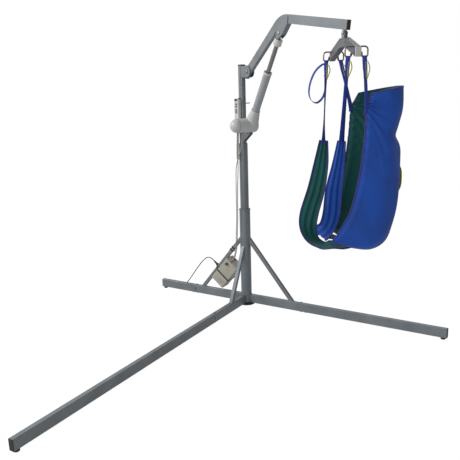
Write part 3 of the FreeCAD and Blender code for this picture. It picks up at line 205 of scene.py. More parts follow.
FINISHES = {
    "frame_paint": lambda: hard_finish(
        "frame paint", (0.165, 0.187, 0.203), 0.4, 0.2, 700.0, 0.00004, 0.1, 0.12),
    "hammered_paint": lambda: hard_finish(
        "hammered paint", (0.1, 0.11, 0.118), 0.45, 0.2, 160.0, 0.0006, 0.22),
    "steel": lambda: brushed_finish("plain steel", (0.3, 0.3, 0.31), 0.24),
    "brass_pin": lambda: brushed_finish("brass pin", (0.74, 0.58, 0.36), 0.22),
    "black_plastic": lambda: hard_finish("black plastic", (0.018, 0.018, 0.02), 0.5, 0, 1800.0, 0.00008, 0.2),
    "black_rubber": lambda: hard_finish("black rubber", (0.02, 0.02, 0.02), 0.75, 0, 1200.0, 0.0001, 0.2),
    "bush_plastic": lambda: hard_finish("bush plastic", (0.17, 0.18, 0.19), 0.5),
    "grey_plastic": lambda: hard_finish(
        "pale grey plastic", (0.47, 0.475, 0.46), 0.4, 0, 1600.0, 0.00006, 0.04),
    "actuator_tube": lambda: hard_finish(
        "actuator tube", (0.33, 0.345, 0.36), 0.36, 0.25, 1600.0, 0.00004, 0.05),
    "white_plastic": lambda: hard_finish(
        "white plastic", (0.52, 0.52, 0.5), 0.36, 0, 1600.0, 0.00004, 0.03, 0.3),
    "box_plastic": lambda: hard_finish("box plastic", (0.36, 0.34, 0.29), 0.45, 0, 1500.0, 0.0001, 0.06),
    "button_grey": lambda: hard_finish("key rubber", (0.16, 0.18, 0.2), 0.55, 0, 1500.0, 0.00006, 0.08),
    "stop_red": lambda: hard_finish("stop knob", (0.05, 0.05, 0.055), 0.4, 0, 1500.0, 0.00004, 0.06, 0.4),
    "hook_wire": lambda: brushed_finish("bronze wire", (0.3, 0.23, 0.18), 0.3),
    "pale_cable": lambda: hard_finish("pale cable", (0.33, 0.31, 0.265), 0.45, 0, 1500.0, 0.00005, 0.06),
    "black_cable": lambda: hard_finish("black cable", (0.02, 0.02, 0.021), 0.45, 0, 1500.0, 0.00005, 0.2),
    "blue_fabric": lambda: cloth_finish("blue cloth", (0.002, 0.07, 0.42)),
    "green_fabric": lambda: cloth_finish("green lining", (0.0, 0.095, 0.09)),
    "purple_piping": lambda: cloth_finish("purple piping", (0.055, 0.02, 0.2), 1500.0, 0.0002),
    "blue_webbing": lambda: cloth_finish("blue webbing", (0.01, 0.04, 0.33), 500.0, 0.0006, 0.65),
    "yellow_webbing": lambda: cloth_finish("yellow webbing", (0.62, 0.5, 0.02), 600.0, 0.0005, 0.65),
    "stitching": lambda: cloth_finish("stitching", (0.02, 0.05, 0.25), 3000.0, 0.0002),
    "dark_mark": lambda: hard_finish("dark window", (0.03, 0.04, 0.05), 0.2, 0, 1500.0, 0.00002, 0.1, 0.4),
    "lamp_green": lambda: hard_finish("green lamp", (0.05, 0.4, 0.08), 0.25, 0, 1500.0, 0.00002, 0.05, 0.5),
    "lamp_amber": lambda: hard_finish("amber lamp", (0.6, 0.3, 0.02), 0.25, 0, 1500.0, 0.00002, 0.05, 0.5),
}
OWN_FINISH = {"spreader_bar": "hammered_paint"}
_made = {}


def finish(key):
    if key not in _made:
        _made[key] = FINISHES[key]()
    return _made[key]


# ---- mesh helpers ----

def new_piece(name, bm, body, key, smooth=True, nodes=(), extra=()):
    mesh = bpy.data.meshes.new(name)
    bmesh.ops.recalc_face_normals(bm, faces=bm.faces)
    bm.to_mesh(mesh)
    bm.free()
    for polygon in mesh.polygons:
        polygon.use_smooth = smooth
    piece = bpy.data.objects.new(name, mesh)
    bpy.context.scene.collection.objects.link(piece)
    for material in (key, *extra):
        mesh.materials.append(finish(material))
    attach(piece, body)
    if nodes:
        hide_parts(*nodes)
    return piece


def add_tube(bm, points, radius, sides=10, closed=False):
    """A round tube through the points, its rings carried along without twisting."""
    rings = []
    count = len(points)
    side = None
    for i, point in enumerate(points):
        before = points[i - 1] if i or closed else points[0]
        after = points[(i + 1) % count] if i + 1 < count or closed else points[-1]
        along = (after - before).normalized()
        if side is None:
            side = along.orthogonal().normalized()
        side = (side - along * side.dot(along)).normalized()
        up = along.cross(side)
        r = radius(i / (count - 1)) if callable(radius) else radius
        angles = [2 * math.pi * k / sides for k in range(sides)]
        rings.append([bm.verts.new(point + side * (r * math.cos(a)) + up * (r * math.sin(a)))
                      for a in angles])
    pairs = list(zip(rings, rings[1:])) + ([(rings[-1], rings[0])] if closed else [])
    for a, b in pairs:
        for k in range(sides):
            bm.faces.new((a[k], a[(k + 1) % sides], b[(k + 1) % sides], b[k]))
    if not closed:
        bm.faces.new(rings[0])
        bm.faces.new(list(reversed(rings[-1])))


def smooth_line(points, steps=8):
    """Points on a Catmull-Rom line through the given ones."""
    line = []
    ends = [points[0] * 2 - points[1]] + list(points) + [points[-1] * 2 - points[-2]]
    for a, b, c, d in zip(ends, ends[1:], ends[2:], ends[3:]):
        for i in range(steps):
            t = i / steps
            line.append(0.5 * (2 * b + (c - a) * t + (2 * a - 5 * b + 4 * c - d) * t * t
                               + (3 * b - a - 3 * c + d) * t * t * t))
    line.append(points[-1].copy())
    return line


def add_strap(bm, points, width, thickness, across):
    """Flat webbing with rounded long edges.  width may be a number or a function of 0 to 1."""
    rings = []
    count = len(points)
    for i, point in enumerate(points):
        before = points[max(i - 1, 0)]
        after = points[min(i + 1, count - 1)]
        along = (after - before).normalized()
        wide = across(i / (count - 1)) if callable(across) else across
        wide = (wide - along * wide.dot(along)).normalized()
        normal = along.cross(wide)
        w = (width(i / (count - 1)) if callable(width) else width) / 2
        t = thickness / 2
        shape = [(-w, 0), (-w + t * 0.7, t), (0, t * 1.05), (w - t * 0.7, t), (w, 0), (w - t * 0.7, -t),
                 (0, -t * 1.05), (-w + t * 0.7, -t)]
        rings.append([bm.verts.new(point + wide * a + normal * b) for a, b in shape])
    for a, b in zip(rings, rings[1:]):
        for k in range(8):
            bm.faces.new((a[k], a[(k + 1) % 8], b[(k + 1) % 8], b[k]))
    bm.faces.new(rings[0])
    bm.faces.new(list(reversed(rings[-1])))


def basis(x, y, z, origin):
    rows = Matrix((x, y, z)).transposed().to_4x4()
    return Matrix.Translation(origin) @ rows


# ---- sling ----

# rows of the seat, from the head end down and forward: back x, back z, side x, side z, half width, in mm
SEAT_ROWS = [
    (305, 1522, 112, 1490, 150),
    (300, 1400, 96, 1452, 172),
    (276, 1278, 80, 1405, 192),
    (296, 1180, 70, 1250, 200),
    (294, 1000, 46, 1060, 204),
    (278, 830, 6, 900, 206),
    (240, 712, -28, 830, 202),
    (165, 662, -52, 782, 196),
    (80, 668, -72, 752, 188),
    (10, 694, -84, 738, 182),
]
NEAR_ROWS = [
    (34, -62, 679, 30, 90), (-14, -82, 687, 54, 90), (-70, -98, 699, 74, 90), (-120, -84, 694, 66, 78),
    (-168, -50, 720, 56, 52), (-186, -12, 778, 50, 22), (-176, 14, 850, 50, 4), (-138, 22, 980, 46, 0),
    (-112, 26, 1120, 38, 0), (-98, 30, 1245, 22, 0),
]
FAR_ROWS = [
    (34, 62, 679, 30, 90), (-14, 82, 689, 54, 90), (-70, 98, 702, 74, 90), (-104, 84, 706, 62, 102),
    (-112, 50, 722, 50, 128), (-78, 12, 768, 44, 158), (-58, -14, 850, 46, 176), (-48, -22, 980, 44, 180),
    (-26, -26, 1120, 32, 180), (-12, -30, 1245, 20, 180),
]


def between(rows, t):
    """The row at t from 0 to 1, on a smooth line through the given rows."""
    place = t * (len(rows) - 1)
    i = min(int(place), len(rows) - 2)
    f = place - i
    result = []
    for k in range(len(rows[0])):
        b, c = rows[i][k], rows[i + 1][k]
        a = rows[i - 1][k] if i else 2 * b - c
        d = rows[i + 2][k] if i + 2 < len(rows) else 2 * c - b
        value = 0.5 * (2 * b + (c - a) * f + (2 * a - 5 * b + 4 * c - d) * f * f
                       + (3 * b - a - 3 * c + d) * f ** 3)
        result.append(value)
    return result


def seat_surface(v, u):
    """Body of the sling.  v runs from the head end down and forward; u from the near edge to the far one."""
    back_x, back_z, side_x, side_z, width = between(SEAT_ROWS, v)
    t = math.pi * (u - 0.5)
    across = math.copysign(abs(math.sin(t)) ** 0.75, t)
    along = max(math.cos(t), 0.0) ** 0.6
    depth = Vector((back_x - side_x, 0, back_z - side_z))
    point = Vector((side_x, 0, side_z)) + depth * along + Vector((0, width * across, 0))
    out = Vector((along * depth.x, width * across * 1.4, 0))
    out = out.normalized() if out.length > 1 else Vector((1, 0, 0))
    edge = 1 - abs(2 * u - 1)
    near_edge = min(edge * 6, 1)
    gather = math.exp(-((v - 0.2) / 0.16) ** 2) * math.exp(-edge * 3.2)
    fan = math.sin((v - 0.2) * 60 / (0.25 + edge * 3)) * gather * 7
    waist = math.exp(-((v - 0.235) / 0.03) ** 2)
    crease = -waist * 9 * near_edge
    hang = math.sin(u * 31 + v * 9) * 2.2 * math.exp(-((v - 0.42) / 0.2) ** 2) * near_edge
    slack = noise.noise(Vector((u * 5, v * 6, 3))) * 7 * near_edge
    return point + out * (fan + crease + hang + slack - 3)


def grid_piece(name, surface, rows, columns, body, keys, nodes, thickness):
    bm = bmesh.new()
    verts = []
    for i in range(rows + 1):
        line = [surface(i / rows, j / columns) for j in range(columns + 1)]
        verts.append([bm.verts.new(sling_point(p.x / 1000, p.y / 1000, p.z / 1000)) for p in line])
    for i in range(rows):
        for j in range(columns):
            bm.faces.new((verts[i][j], verts[i][j + 1], verts[i + 1][j + 1], verts[i + 1][j]))
    edges = {
        "head": [v.co.copy() for v in verts[0]],
        "front": [v.co.copy() for v in verts[-1]],
        "near": [row[0].co.copy() for row in verts],
        "far": [row[-1].co.copy() for row in verts],
    }
    area = sum(f.calc_area() for f in bm.faces)
    piece = new_piece(name, bm, body, keys[0], nodes=nodes, extra=keys[1:])
    solid = piece.modifiers.new("thickness", "SOLIDIFY")
    solid.thickness = thickness
    solid.offset = 0.0
    solid.material_offset = 1
    solid.material_offset_rim = 0
    return piece, edges, area


def piping(name, lines, radius, body="spreader"):
    bm = bmesh.new()
    for line in lines:
        add_tube(bm, line, radius, 8)
    return new_piece(name, bm, body, "purple_piping")


def build_sling_body(settings):
    piece, edges, area = grid_piece("sling_seat_cloth", seat_surface, 110, 90, "spreader",
                                    ("blue_fabric", "green_fabric"), ["sling_body"], settings.cloth_thickness)
    trim = piping("sling_seat_piping", edges.values(), settings.piping_radius)
    return [piece, trim]


def stitch_rows(bm, surface, rows, inset, side, lift):
    """Short stitches in a line beside one edge of a piece of cloth."""
    for i in range(rows):
        v0, v1 = (i + 0.15) / rows, (i + 0.7) / rows
        ends = []
        for v in (v0, v1):
            u = inset if side == "near" else 1 - inset
            a = surface(v, u)
            b = surface(v, u + 0.004)
            c = surface(min(v + 0.004, 1), u)
            normal = (b - a).cross(c - a).normalized() * lift
            p = a + normal
            ends.append(sling_point(p.x / 1000, p.y / 1000, p.z / 1000))
        add_tube(bm, ends, 0.0007, 5)


def build_sling_stitches(settings):
    made = []
    bm = bmesh.new()
    for side in ("near", "far"):
        for lift in (2.0, -2.0):
            stitch_rows(bm, seat_surface, 120, 0.012, side, lift)
    made.append(new_piece("sling_seat_stitches", bm, "spreader", "stitching"))
    for name, rows, phase in (("near", NEAR_ROWS, 0.4), ("far", FAR_ROWS, 2.1)):
        bm = bmesh.new()
        for side in ("near", "far"):
            for lift in (2.0, -2.0):
                stitch_rows(bm, leg_surface(rows, phase), 90, 0.07, side, lift)
        made.append(new_piece("sling_leg_%s_stitches" % name, bm, "spreader", "stitching"))
    return made


def leg_surface(rows, phase):
    centres = rows

    def surface(v, u):
        cx, cy, cz, width, angle = between(centres, v)
        ahead = Vector(between(centres, min(v + 0.01, 1))[:3])
        behind = Vector(between(centres, max(v - 0.01, 0))[:3])
        along = (ahead - behind).normalized()
        a = math.radians(angle)
        across = Vector((math.cos(a), math.sin(a), 0))
        across = (across - along * across.dot(along)).normalized()
        normal = along.cross(across)
        s = 2 * u - 1
        pleat = math.sin(u * 17 + phase + math.sin(v * 5)) * (1.2 + 3.8 * v ** 1.5)
        bow = (1 - s * s) * 3 * (1 - v)
        ripple = noise.noise(Vector((u * 4, v * 7, phase))) * 3
        return Vector((cx, cy, cz)) + across * (width * s) + normal * (pleat + bow + ripple)

    return surface


def build_sling_legs(settings):
    made = []
    for name, rows, phase in (("near", NEAR_ROWS, 0.4), ("far", FAR_ROWS, 2.1)):
        keys = ("green_fabric", "blue_fabric") if name == "near" else ("blue_fabric", "green_fabric")
        piece, edges, area = grid_piece("sling_leg_%s_cloth" % name, leg_surface(rows, phase), 80, 36,
                                        "spreader", keys, ["sling_leg_" + name], settings.cloth_thickness)
        trim = piping("sling_leg_%s_piping" % name, [edges["near"], edges["far"], edges["front"]],
                      settings.piping_radius)
        made += [piece, trim]
    return made


STRAPS = {
    "leg_far": (1, -1, (-98, 30, 1243)),
    "shoulder_far": (1, 1, (82, 186, 1400)),
    "leg_near": (-1, -1, (-12, -30, 1243)),
    "shoulder_near": (-1, 1, (82, -186, 1400)),
}


TWISTS = {"leg_far": 1.15, "shoulder_far": 0.5, "leg_near": 0.35, "shoulder_near": 0.55}


def hook_bottom(end, front):
    """Middle of the wire that a strap hangs on."""
    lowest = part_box("spreader_hooks")[0].z
    return spreader_point(0.041 * front, 0.216 * end, lowest + 0.004)


def strap_line(end, front, foot):
    """Up from the cloth, over the hook's wire and down to where the loop is sewn shut."""
    wire = hook_bottom(end, front)
    low = sling_point(*[c / 1000 for c in foot])
    out = spreader_point(0, 1, 0) - spreader_point(0, 0, 0)
    down = (low - wire).normalized()
    seam = wire + down * 0.085
    knots = [low - Vector((0, 0, 0.012)), low, low.lerp(seam, 0.5), seam, wire + down * 0.045 + out * 0.0055,
             wire + out * 0.0062, wire + Vector((0, 0, 0.0062)), wire - out * 0.0062,
             wire + down * 0.045 - out * 0.0055, seam + down * 0.004 - out * 0.0022]
    return smooth_line(knots, 7), seam, down, out


def build_sling_straps(settings):
    webbing = bmesh.new()
    loops = bmesh.new()
    sewing = bmesh.new()
    across = spreader_point(1, 0, 0) - spreader_point(0, 0, 0)
    for name, (end, front, foot) in STRAPS.items():
        line, seam, down, out = strap_line(end, front, foot)

        def width(t):
            return 0.020 + (settings.webbing_width - 0.020) * max(0.0, min(1.0, (0.3 - t) / 0.2))

        def lie(t):
            turn = TWISTS[name] * math.sin(math.pi * min(t / 0.42, 1.0)) ** 2
            return across * math.cos(turn) + out * math.sin(turn)

        add_strap(webbing, line, width, settings.webbing_thickness, lie)
        for k in range(4):
            y = seam + down * (0.004 + 0.004 * k)
            add_tube(sewing, [y - across * 0.009 + out * 0.003, y + across * 0.009 + out * 0.003], 0.0006, 6)
        small = [seam + down * 0.02 - out * 0.004 + across * 0.006, seam - out * 0.010 + across * 0.012,
                 seam - out * 0.014 - down * 0.03 + across * 0.019,
                 seam - out * 0.012 - down * 0.058 + across * 0.014,
                 seam - out * 0.008 - down * 0.064 + across * 0.008,
                 seam - out * 0.006 - down * 0.05 + across * 0.004,
                 seam - out * 0.005 + down * 0.012 + across * 0.004]
        add_strap(loops, smooth_line(small, 6), 0.008, 0.0014, (across + out * 0.8).normalized())
    spare = hook_bottom(1, -1)
    side = (sling_point(-1, 0, 0) - sling_point(0, 0, 0))
    ring = [spare + side * (out / 1000) - Vector((0, 0, fall / 1000)) for out, fall in
            ((3, 12), (26, 18), (62, 52), (88, 110), (96, 168),
             (82, 208), (54, 222), (26, 204), (9, 170), (3, 130))]
    depth = sling_point(0, 1, 0) - sling_point(0, 0, 0)
    tilt = (depth + Vector((0, 0, 0.45)) + side * 0.3).normalized()
    add_strap(webbing, smooth_line([p - depth * 0.005 for p in ring], 8), 0.02, 0.002, tilt)
    straps = new_piece("sling_straps_webbing", webbing, "spreader", "blue_webbing", nodes=["sling_straps"])
    yellow = new_piece("sling_small_loops", loops, "spreader", "yellow_webbing")
    stitch = new_piece("sling_strap_stitches", sewing, "spreader", "stitching")
    return [straps, yellow, stitch]


def build_sling_handle(settings):
    bm = bmesh.new()
    across = sling_point(0, 1, 0) - sling_point(0, 0, 0)
    knots = [sling_point(*p) for p in
             ((0.299, 0, 1.112), (0.306, 0, 1.104), (0.3165, 0, 1.08), (0.3195, 0, 1.036),
              (0.3165, 0, 0.994), (0.305, 0, 0.968), (0.296, 0, 0.960))]
    add_strap(bm, smooth_line(knots, 8), 0.034, 0.004, across)
    return [new_piece("sling_back_handle", bm, "spreader", "yellow_webbing", nodes=["sling_handle"])]


# ---- cords ----

BRACE_LEAN = math.atan2(0.453, 0.375)


def brace_point(x, y, z):
    c, s = math.cos(BRACE_LEAN), math.sin(BRACE_LEAN)
    return Vector((-(x * c + z * s), -y, 0.525 - x * s + z * c))


LEAD_ROUTE = [brace_point(0.382, -0.031, 0.0685), brace_point(0.382, -0.031, 0.1025),
              Vector((-0.366, 0.035, 0.292)),
              Vector((-0.430, 0.042, 0.230)), Vector((-0.492, 0.046, 0.150)), Vector((-0.548, 0.042, 0.072)),
              Vector((-0.592, 0.034, 0.028))]
COIL_CENTRE = Vector((-0.640, 0.074, 0))
LEAD_DIAMETER = 0.007
COIL_TURNS = 12
COIL_POINTS_PER_TURN = 14


def coil_points():
    """COIL_TURNS turns in four layers, wound in, out, in and out again, from the top down."""
    points = []
    per_turn = COIL_POINTS_PER_TURN
    radii = [0.0415, 0.0275, 0.0415, 0.0275, 0.0415]
    total = COIL_TURNS * per_turn
    for i in range(total + 1):
        turn = i / per_turn
        layer = min(int(turn / 3), 3)
        part = turn / 3 - layer
        radius = radii[layer] + (radii[layer + 1] - radii[layer]) * part
        drop = layer + max(0.0, (part - 0.85) / 0.15) if layer < 3 else layer
        angle = -math.pi / 2 - 2 * math.pi * turn
        height = 0.0245 - 0.007 * drop
        points.append(COIL_CENTRE + Vector((radius * math.cos(angle), radius * math.sin(angle), height)))
    return points


def nurbs_curve(name, points, radius):
    curve = bpy.data.curves.new(name, "CURVE")
    curve.dimensions = "3D"
    curve.bevel_depth = radius
    curve.bevel_resolution = 4
    curve.use_fill_caps = True
    curve.resolution_u = 8
    spline = curve.splines.new("NURBS")
    spline.points.add(len(points) - 1)
    for place, point in zip(spline.points, points):
        place.co = (*point, 1)
    spline.order_u = 3
    spline.use_endpoint_u = True
    piece = bpy.data.objects.new(name, curve)
    bpy.context.scene.collection.objects.link(piece)
    return piece


def line_of(piece):
    """The points of a curve's own line."""
    bevel = piece.data.bevel_depth
    piece.data.bevel_depth = 0
    bpy.context.view_layer.update()
    mesh = bpy.data.meshes.new_from_object(piece)
    points = [v.co.copy() for v in mesh.vertices]
    bpy.data.meshes.remove(mesh)
    piece.data.bevel_depth = bevel
    return points


def length_of(points):
    return sum((b - a).length for a, b in zip(points, points[1:]))


def build_mains_lead(settings):
    turns = coil_points()
    tail = [Vector((-0.6535, 0.1135, 0.0037)), Vector((-0.636, 0.1158, 0.0065)),
            Vector((-0.6225, 0.1155, 0.0115)), Vector((-0.6115, 0.1155, 0.012))]
    last = len(turns) - 1 - COIL_POINTS_PER_TURN // 2  # the tail takes over half a turn before the end
    points = LEAD_ROUTE + turns[:last] + tail
    lead = nurbs_curve("mains_lead_cord", points, LEAD_DIAMETER / 2)
    lead.data.materials.append(finish("black_cable"))
    line = line_of(lead)
    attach(lead, "base")
    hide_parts("mains_lead", "mains_coil")
    bm = bmesh.new()
    tie = COIL_CENTRE + Vector((-0.0345, 0, 0.014))
    ring = []
    for k in range(24):
        a = 2 * math.pi * k / 24
        across = math.copysign(abs(math.cos(a)) ** 0.6, math.cos(a)) * 0.0118
        height = math.copysign(abs(math.sin(a)) ** 0.6, math.sin(a)) * 0.0142
        ring.append(tie + Vector((across, 0, max(height, -0.0133))))
    add_tube(bm, ring, 0.0008, 6, closed=True)
    add_tube(bm, [p + Vector((0, 0.0015, 0)) for p in ring], 0.0008, 6, closed=True)
    band = new_piece("mains_coil_tie", bm, "base", "black_cable")
    length_of(line)
    return [lead, band]


CURL_RADIUS = 0.0074
CURL_WIRE_RADIUS = 0.0025


def build_handset_cord(settings):
    route = [boom_point(0, -0.040, 1.313), boom_point(0, -0.040, 1.233), boom_point(0, -0.046, 1.130),
             boom_point(0, -0.046, 1.050)]
    guide = nurbs_curve("handset_cord_guide", route, 0)
    line = line_of(guide)
    bpy.data.objects.remove(guide)
    total = length_of(line)
    turns = round(total / settings.curl_pitch)
    helix = []
    per_turn = 12
    travelled = [0.0]
    for a, b in zip(line, line[1:]):
        travelled.append(travelled[-1] + (b - a).length)
    k = 0
    for i in range(turns * per_turn + 1):
        want = total * i / (turns * per_turn)
        while k < len(line) - 2 and travelled[k + 1] < want:
            k += 1
        f = (want - travelled[k]) / max(travelled[k + 1] - travelled[k], 1e-9)
        angle = 2 * math.pi * i / per_turn
        reach = CURL_RADIUS * min(1, i / 10, (turns * per_turn - i) / 10)
        helix.append(line[k].lerp(line[k + 1], f)
                     + boom_point(reach * math.cos(angle), reach * math.sin(angle), 0))
    bm = bmesh.new()
    add_tube(bm, helix, CURL_WIRE_RADIUS, 8)
    return [new_piece("handset_curly_cord", bm, "mast", "pale_cable", nodes=["handset_coil"])]


# ---- small details on the hard parts ----

KEY_HALF_DEPTH = 0.0045


def build_handset_marks(settings):
    """Raised arrows on the two keys."""
    made = []
    normal = boom_point(0, -1, 0)
    right = boom_point(1, 0, 0)
    up = Vector((0, 0, 1))
    for body, direction in (("button_up", 1), ("button_down", -1)):
        low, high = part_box("handset_" + body)
        mid = (low + high) / 2
        face = mid + normal * (KEY_HALF_DEPTH + 0.0001)
        bm = bmesh.new()
        corners = [right * -0.006 - up * 0.004 * direction, right * 0.006 - up * 0.004 * direction,
                   up * 0.006 * direction]
        back = [bm.verts.new(face + c) for c in corners]
        front = [bm.verts.new(face + c * 0.86 + normal * 0.0007) for c in corners]
        bm.faces.new(back)
        bm.faces.new(front)
        for k in range(3):
            bm.faces.new((back[k], back[(k + 1) % 3], front[(k + 1) % 3], front[k]))
        made.append(new_piece("handset_arrow_" + ("up" if direction > 0 else "down"), bm, body,
                              "white_plastic", smooth=False))
    return made


def build_box_details(settings):
    """Panel seam, lamps and sockets of the control box, and grip ribs on the battery."""
    bm = bmesh.new()
    x0 = 0.236
    top = -0.0155
    made = []
    for x in (x0 + 0.022, x0 + 0.092):
        ring = [brace_point(x, -0.0452, z) for z in (top - 0.010, top - 0.104)]
        add_tube(bm, ring, 0.0007, 6)
    for z in (top - 0.010, top - 0.104):
        add_tube(bm, [brace_point(x0 + 0.022, -0.0452, z), brace_point(x0 + 0.092, -0.0452, z)], 0.0007, 6)
    made.append(new_piece("control_box_panel_seam", bm, "base", "dark_mark"))
    for name, key, y in (("power", "lamp_green", -0.024), ("charge", "lamp_amber", -0.008)):
        bm = bmesh.new()
        base = brace_point(x0, y, top - 0.018)
        axis = (brace_point(-1, 0, 0) - brace_point(0, 0, 0))
        add_tube(bm, [base, base + axis * 0.0015, base + axis * 0.0022],
                 lambda t: 0.0028 if t < 0.9 else 0.0015, 14)
        made.append(new_piece("control_box_lamp_" + name, bm, "base", key))
    bm = bmesh.new()
    axis = (brace_point(-1, 0, 0) - brace_point(0, 0, 0))
    for y in (-0.016, -0.030, 0.014, 0.030):
        base = brace_point(x0, -y, top - 0.042)
        ring = []
        one = brace_point(0, 1, 0) - brace_point(0, 0, 0)
        two = brace_point(0, 0, 1) - brace_point(0, 0, 0)
        for k in range(20):
            a = 2 * math.pi * k / 20
            ring.append(base + axis * 0.0008 + one * (0.0056 * math.cos(a)) + two * (0.0056 * math.sin(a)))
        add_tube(bm, ring, 0.0012, 6, closed=True)
    made.append(new_piece("control_box_sockets", bm, "base", "black_plastic"))
    bm = bmesh.new()
    start = x0 + 0.112 + 0.0005
    for x in (0.050, 0.058, 0.066, 0.074):
        ends = [brace_point(start + x, 0.0452, top - depth) for depth in (0.018, 0.098)]
        add_tube(bm, ends, 0.0009, 6)
    made.append(new_piece("battery_grip_ribs", bm, "base", "box_plastic"))
    return made


def actuator_point(x, y, z):
    """A point in the actuator's frame: z along it from the lower pin, x away from the mast."""
    lean = math.atan2(0.463 - 0.073, 1.848 - 1.240)
    c, s = math.cos(lean), math.sin(lean)
    return boom_point(0.073 + x * c + z * s, y, 1.240 - x * s + z * c)


def actuator_ring(radius, along, count=48):
    """Points of a circle round the actuator's axis, some way along it."""
    angles = [2 * math.pi * k / count for k in range(count)]
    return [actuator_point(radius * math.cos(a), radius * math.sin(a), along) for a in angles]


def build_actuator_details(settings):
    """Case seams and the wiper at the tube's mouth."""
    made = []
    bm = bmesh.new()
    ring = [actuator_point(0.0463 * math.cos(2 * math.pi * k / 64), -0.109,
                           0.062 + 0.0463 * math.sin(2 * math.pi * k / 64)) for k in range(64)]
    add_tube(bm, ring, 0.0006, 6, closed=True)
    ring = actuator_ring(0.0284, 0.1795)
    add_tube(bm, ring, 0.0009, 6, closed=True)
    made.append(new_piece("actuator_case_seams", bm, "actuator_body", "dark_mark"))
    bm = bmesh.new()
    ring = actuator_ring(0.0165, 0.4583)
    add_tube(bm, ring, 0.0009, 8, closed=True)
    made.append(new_piece("actuator_rod_wiper", bm, "actuator_body", "black_rubber"))
    return made


# ---- camera, lights and floor ----

def build_stage(settings):
    scene = bpy.context.scene
    camera = bpy.data.objects.new("Camera", bpy.data.cameras.new("Camera"))
    scene.collection.objects.link(camera)
    scene.camera = camera
    camera.data.sensor_width = 36
    camera.data.lens = 45.77
    camera.data.clip_end = 60
    camera.data.dof.use_dof = False
    yaw, pitch, roll = (math.radians(v) for v in (31.551, 13.629, -1.643))
    ahead = Vector((-math.sin(yaw) * math.cos(pitch), math.cos(yaw) * math.cos(pitch), -math.sin(pitch)))
    right = Vector((math.cos(yaw), math.sin(yaw), 0))
    up = right.cross(ahead)
    across = right * math.cos(roll) + up * math.sin(roll)
    upward = up * math.cos(roll) - right * math.sin(roll)
    camera.matrix_world = basis(across, upward, -ahead, Vector((2.0313, -3.5156, 1.536)))

    bm = bmesh.new()
    bmesh.ops.create_grid(bm, x_segments=2, y_segments=2, size=30)
    mesh = bpy.data.meshes.new("floor")
    bm.to_mesh(mesh)
    bm.free()
    floor = bpy.data.objects.new("floor", mesh)
    scene.collection.objects.link(floor)
    floor.location.z = -0.0005
    m = Nodes("studio floor")
    m.link(m.ramp(m.noise(3.0), (0.08, 0.08, 0.08), (0.1, 0.1, 0.1)), m.shader.inputs["Base Color"])
    m.shader.inputs["Specular IOR Level"].default_value = 0.0
    m.spread(m.noise(4.0), 0.85, 0.95, "Roughness")
    m.shader.inputs["Emission Color"].default_value = (1, 1, 1, 1)
    seen = m.add("ShaderNodeLightPath")
    glow = m.add("ShaderNodeMapRange")
    glow.inputs["To Min"].default_value = 0.45
    glow.inputs["To Max"].default_value = 0.96
    m.link(seen.outputs["Is Camera Ray"], glow.inputs["Value"])
    m.link(glow.outputs["Result"], m.shader.inputs["Emission Strength"])
    mesh.materials.append(m.material)

    world = bpy.data.worlds.new("studio")
    world.use_nodes = True
    backdrop = next(n for n in world.node_tree.nodes if n.type == "BACKGROUND")
    backdrop.inputs["Color"].default_value = (1.0, 1.0, 1.0, 1)
    path = world.node_tree.nodes.new("ShaderNodeLightPath")
    way = world.node_tree.nodes.new("ShaderNodeTexCoord")
    split = world.node_tree.nodes.new("ShaderNodeSeparateXYZ")
    sides = world.node_tree.nodes.new("ShaderNodeMapRange")
    sides.inputs["From Min"].default_value = -0.9
    sides.inputs["From Max"].default_value = 0.9
    sides.inputs["To Min"].default_value = settings.ambient * 2
    sides.inputs["To Max"].default_value = settings.ambient * 0.3
    level = world.node_tree.nodes.new("ShaderNodeMapRange")
    level.inputs["To Max"].default_value = 1.0
    world.node_tree.links.new(way.outputs["Generated"], split.inputs[0])
    world.node_tree.links.new(split.outputs["X"], sides.inputs["Value"])
    world.node_tree.links.new(sides.outputs["Result"], level.inputs["To Min"])
    world.node_tree.links.new(path.outputs["Is Camera Ray"], level.inputs["Value"])
    world.node_tree.links.new(level.outputs["Result"], backdrop.inputs["Strength"])
    scene.world = world
    for name, place, aim, size, energy, tint in (
            ("key", (-3.4, -2.9, 3.7), (0.3, -0.4, 0.9), 2.0, settings.key_power, (1, 0.99, 0.97)),
            ("fill", (1.6, -5.2, 2.2), (0.5, -0.5, 1.0), 2.8, settings.key_power * 0.4, (0.97, 0.98, 1)),
            ("rim", (0.5, 3.2, 3.6), (0.4, -0.3, 1.2), 2.0, settings.key_power * 0.12, (1, 1, 1))):
        lamp = bpy.data.lights.new(name, "AREA")
        lamp.shape = "DISK"
        lamp.size = size
        lamp.energy = energy
        lamp.color = tint
        holder = bpy.data.objects.new(name, lamp)
        scene.collection.objects.link(holder)
        holder.location = place
        holder.rotation_euler = (Vector(aim) - Vector(place)).to_track_quat("-Z", "Y").to_euler()
    scene.view_settings.view_transform = "Standard"


def build_hook_tips(settings):
    """Black rubber tips on the four ends of the hook wires."""
    bm = bmesh.new()
    for end in (-1, 1):
        for front in (-1, 1):
            base = hook_bottom(end, front) + (spreader_point(-0.0150 * front, 0, 0) - spreader_point(0, 0, 0))
            points = [base + Vector((0, 0, z)) for z in (0.007, 0.008, 0.0145, 0.0165, 0.0175)]
            add_tube(bm, points, lambda t: 0.0052 if 0.05 < t < 0.8 else 0.0036, 14)
    return [new_piece("hook_tips", bm, "spreader", "black_rubber")]


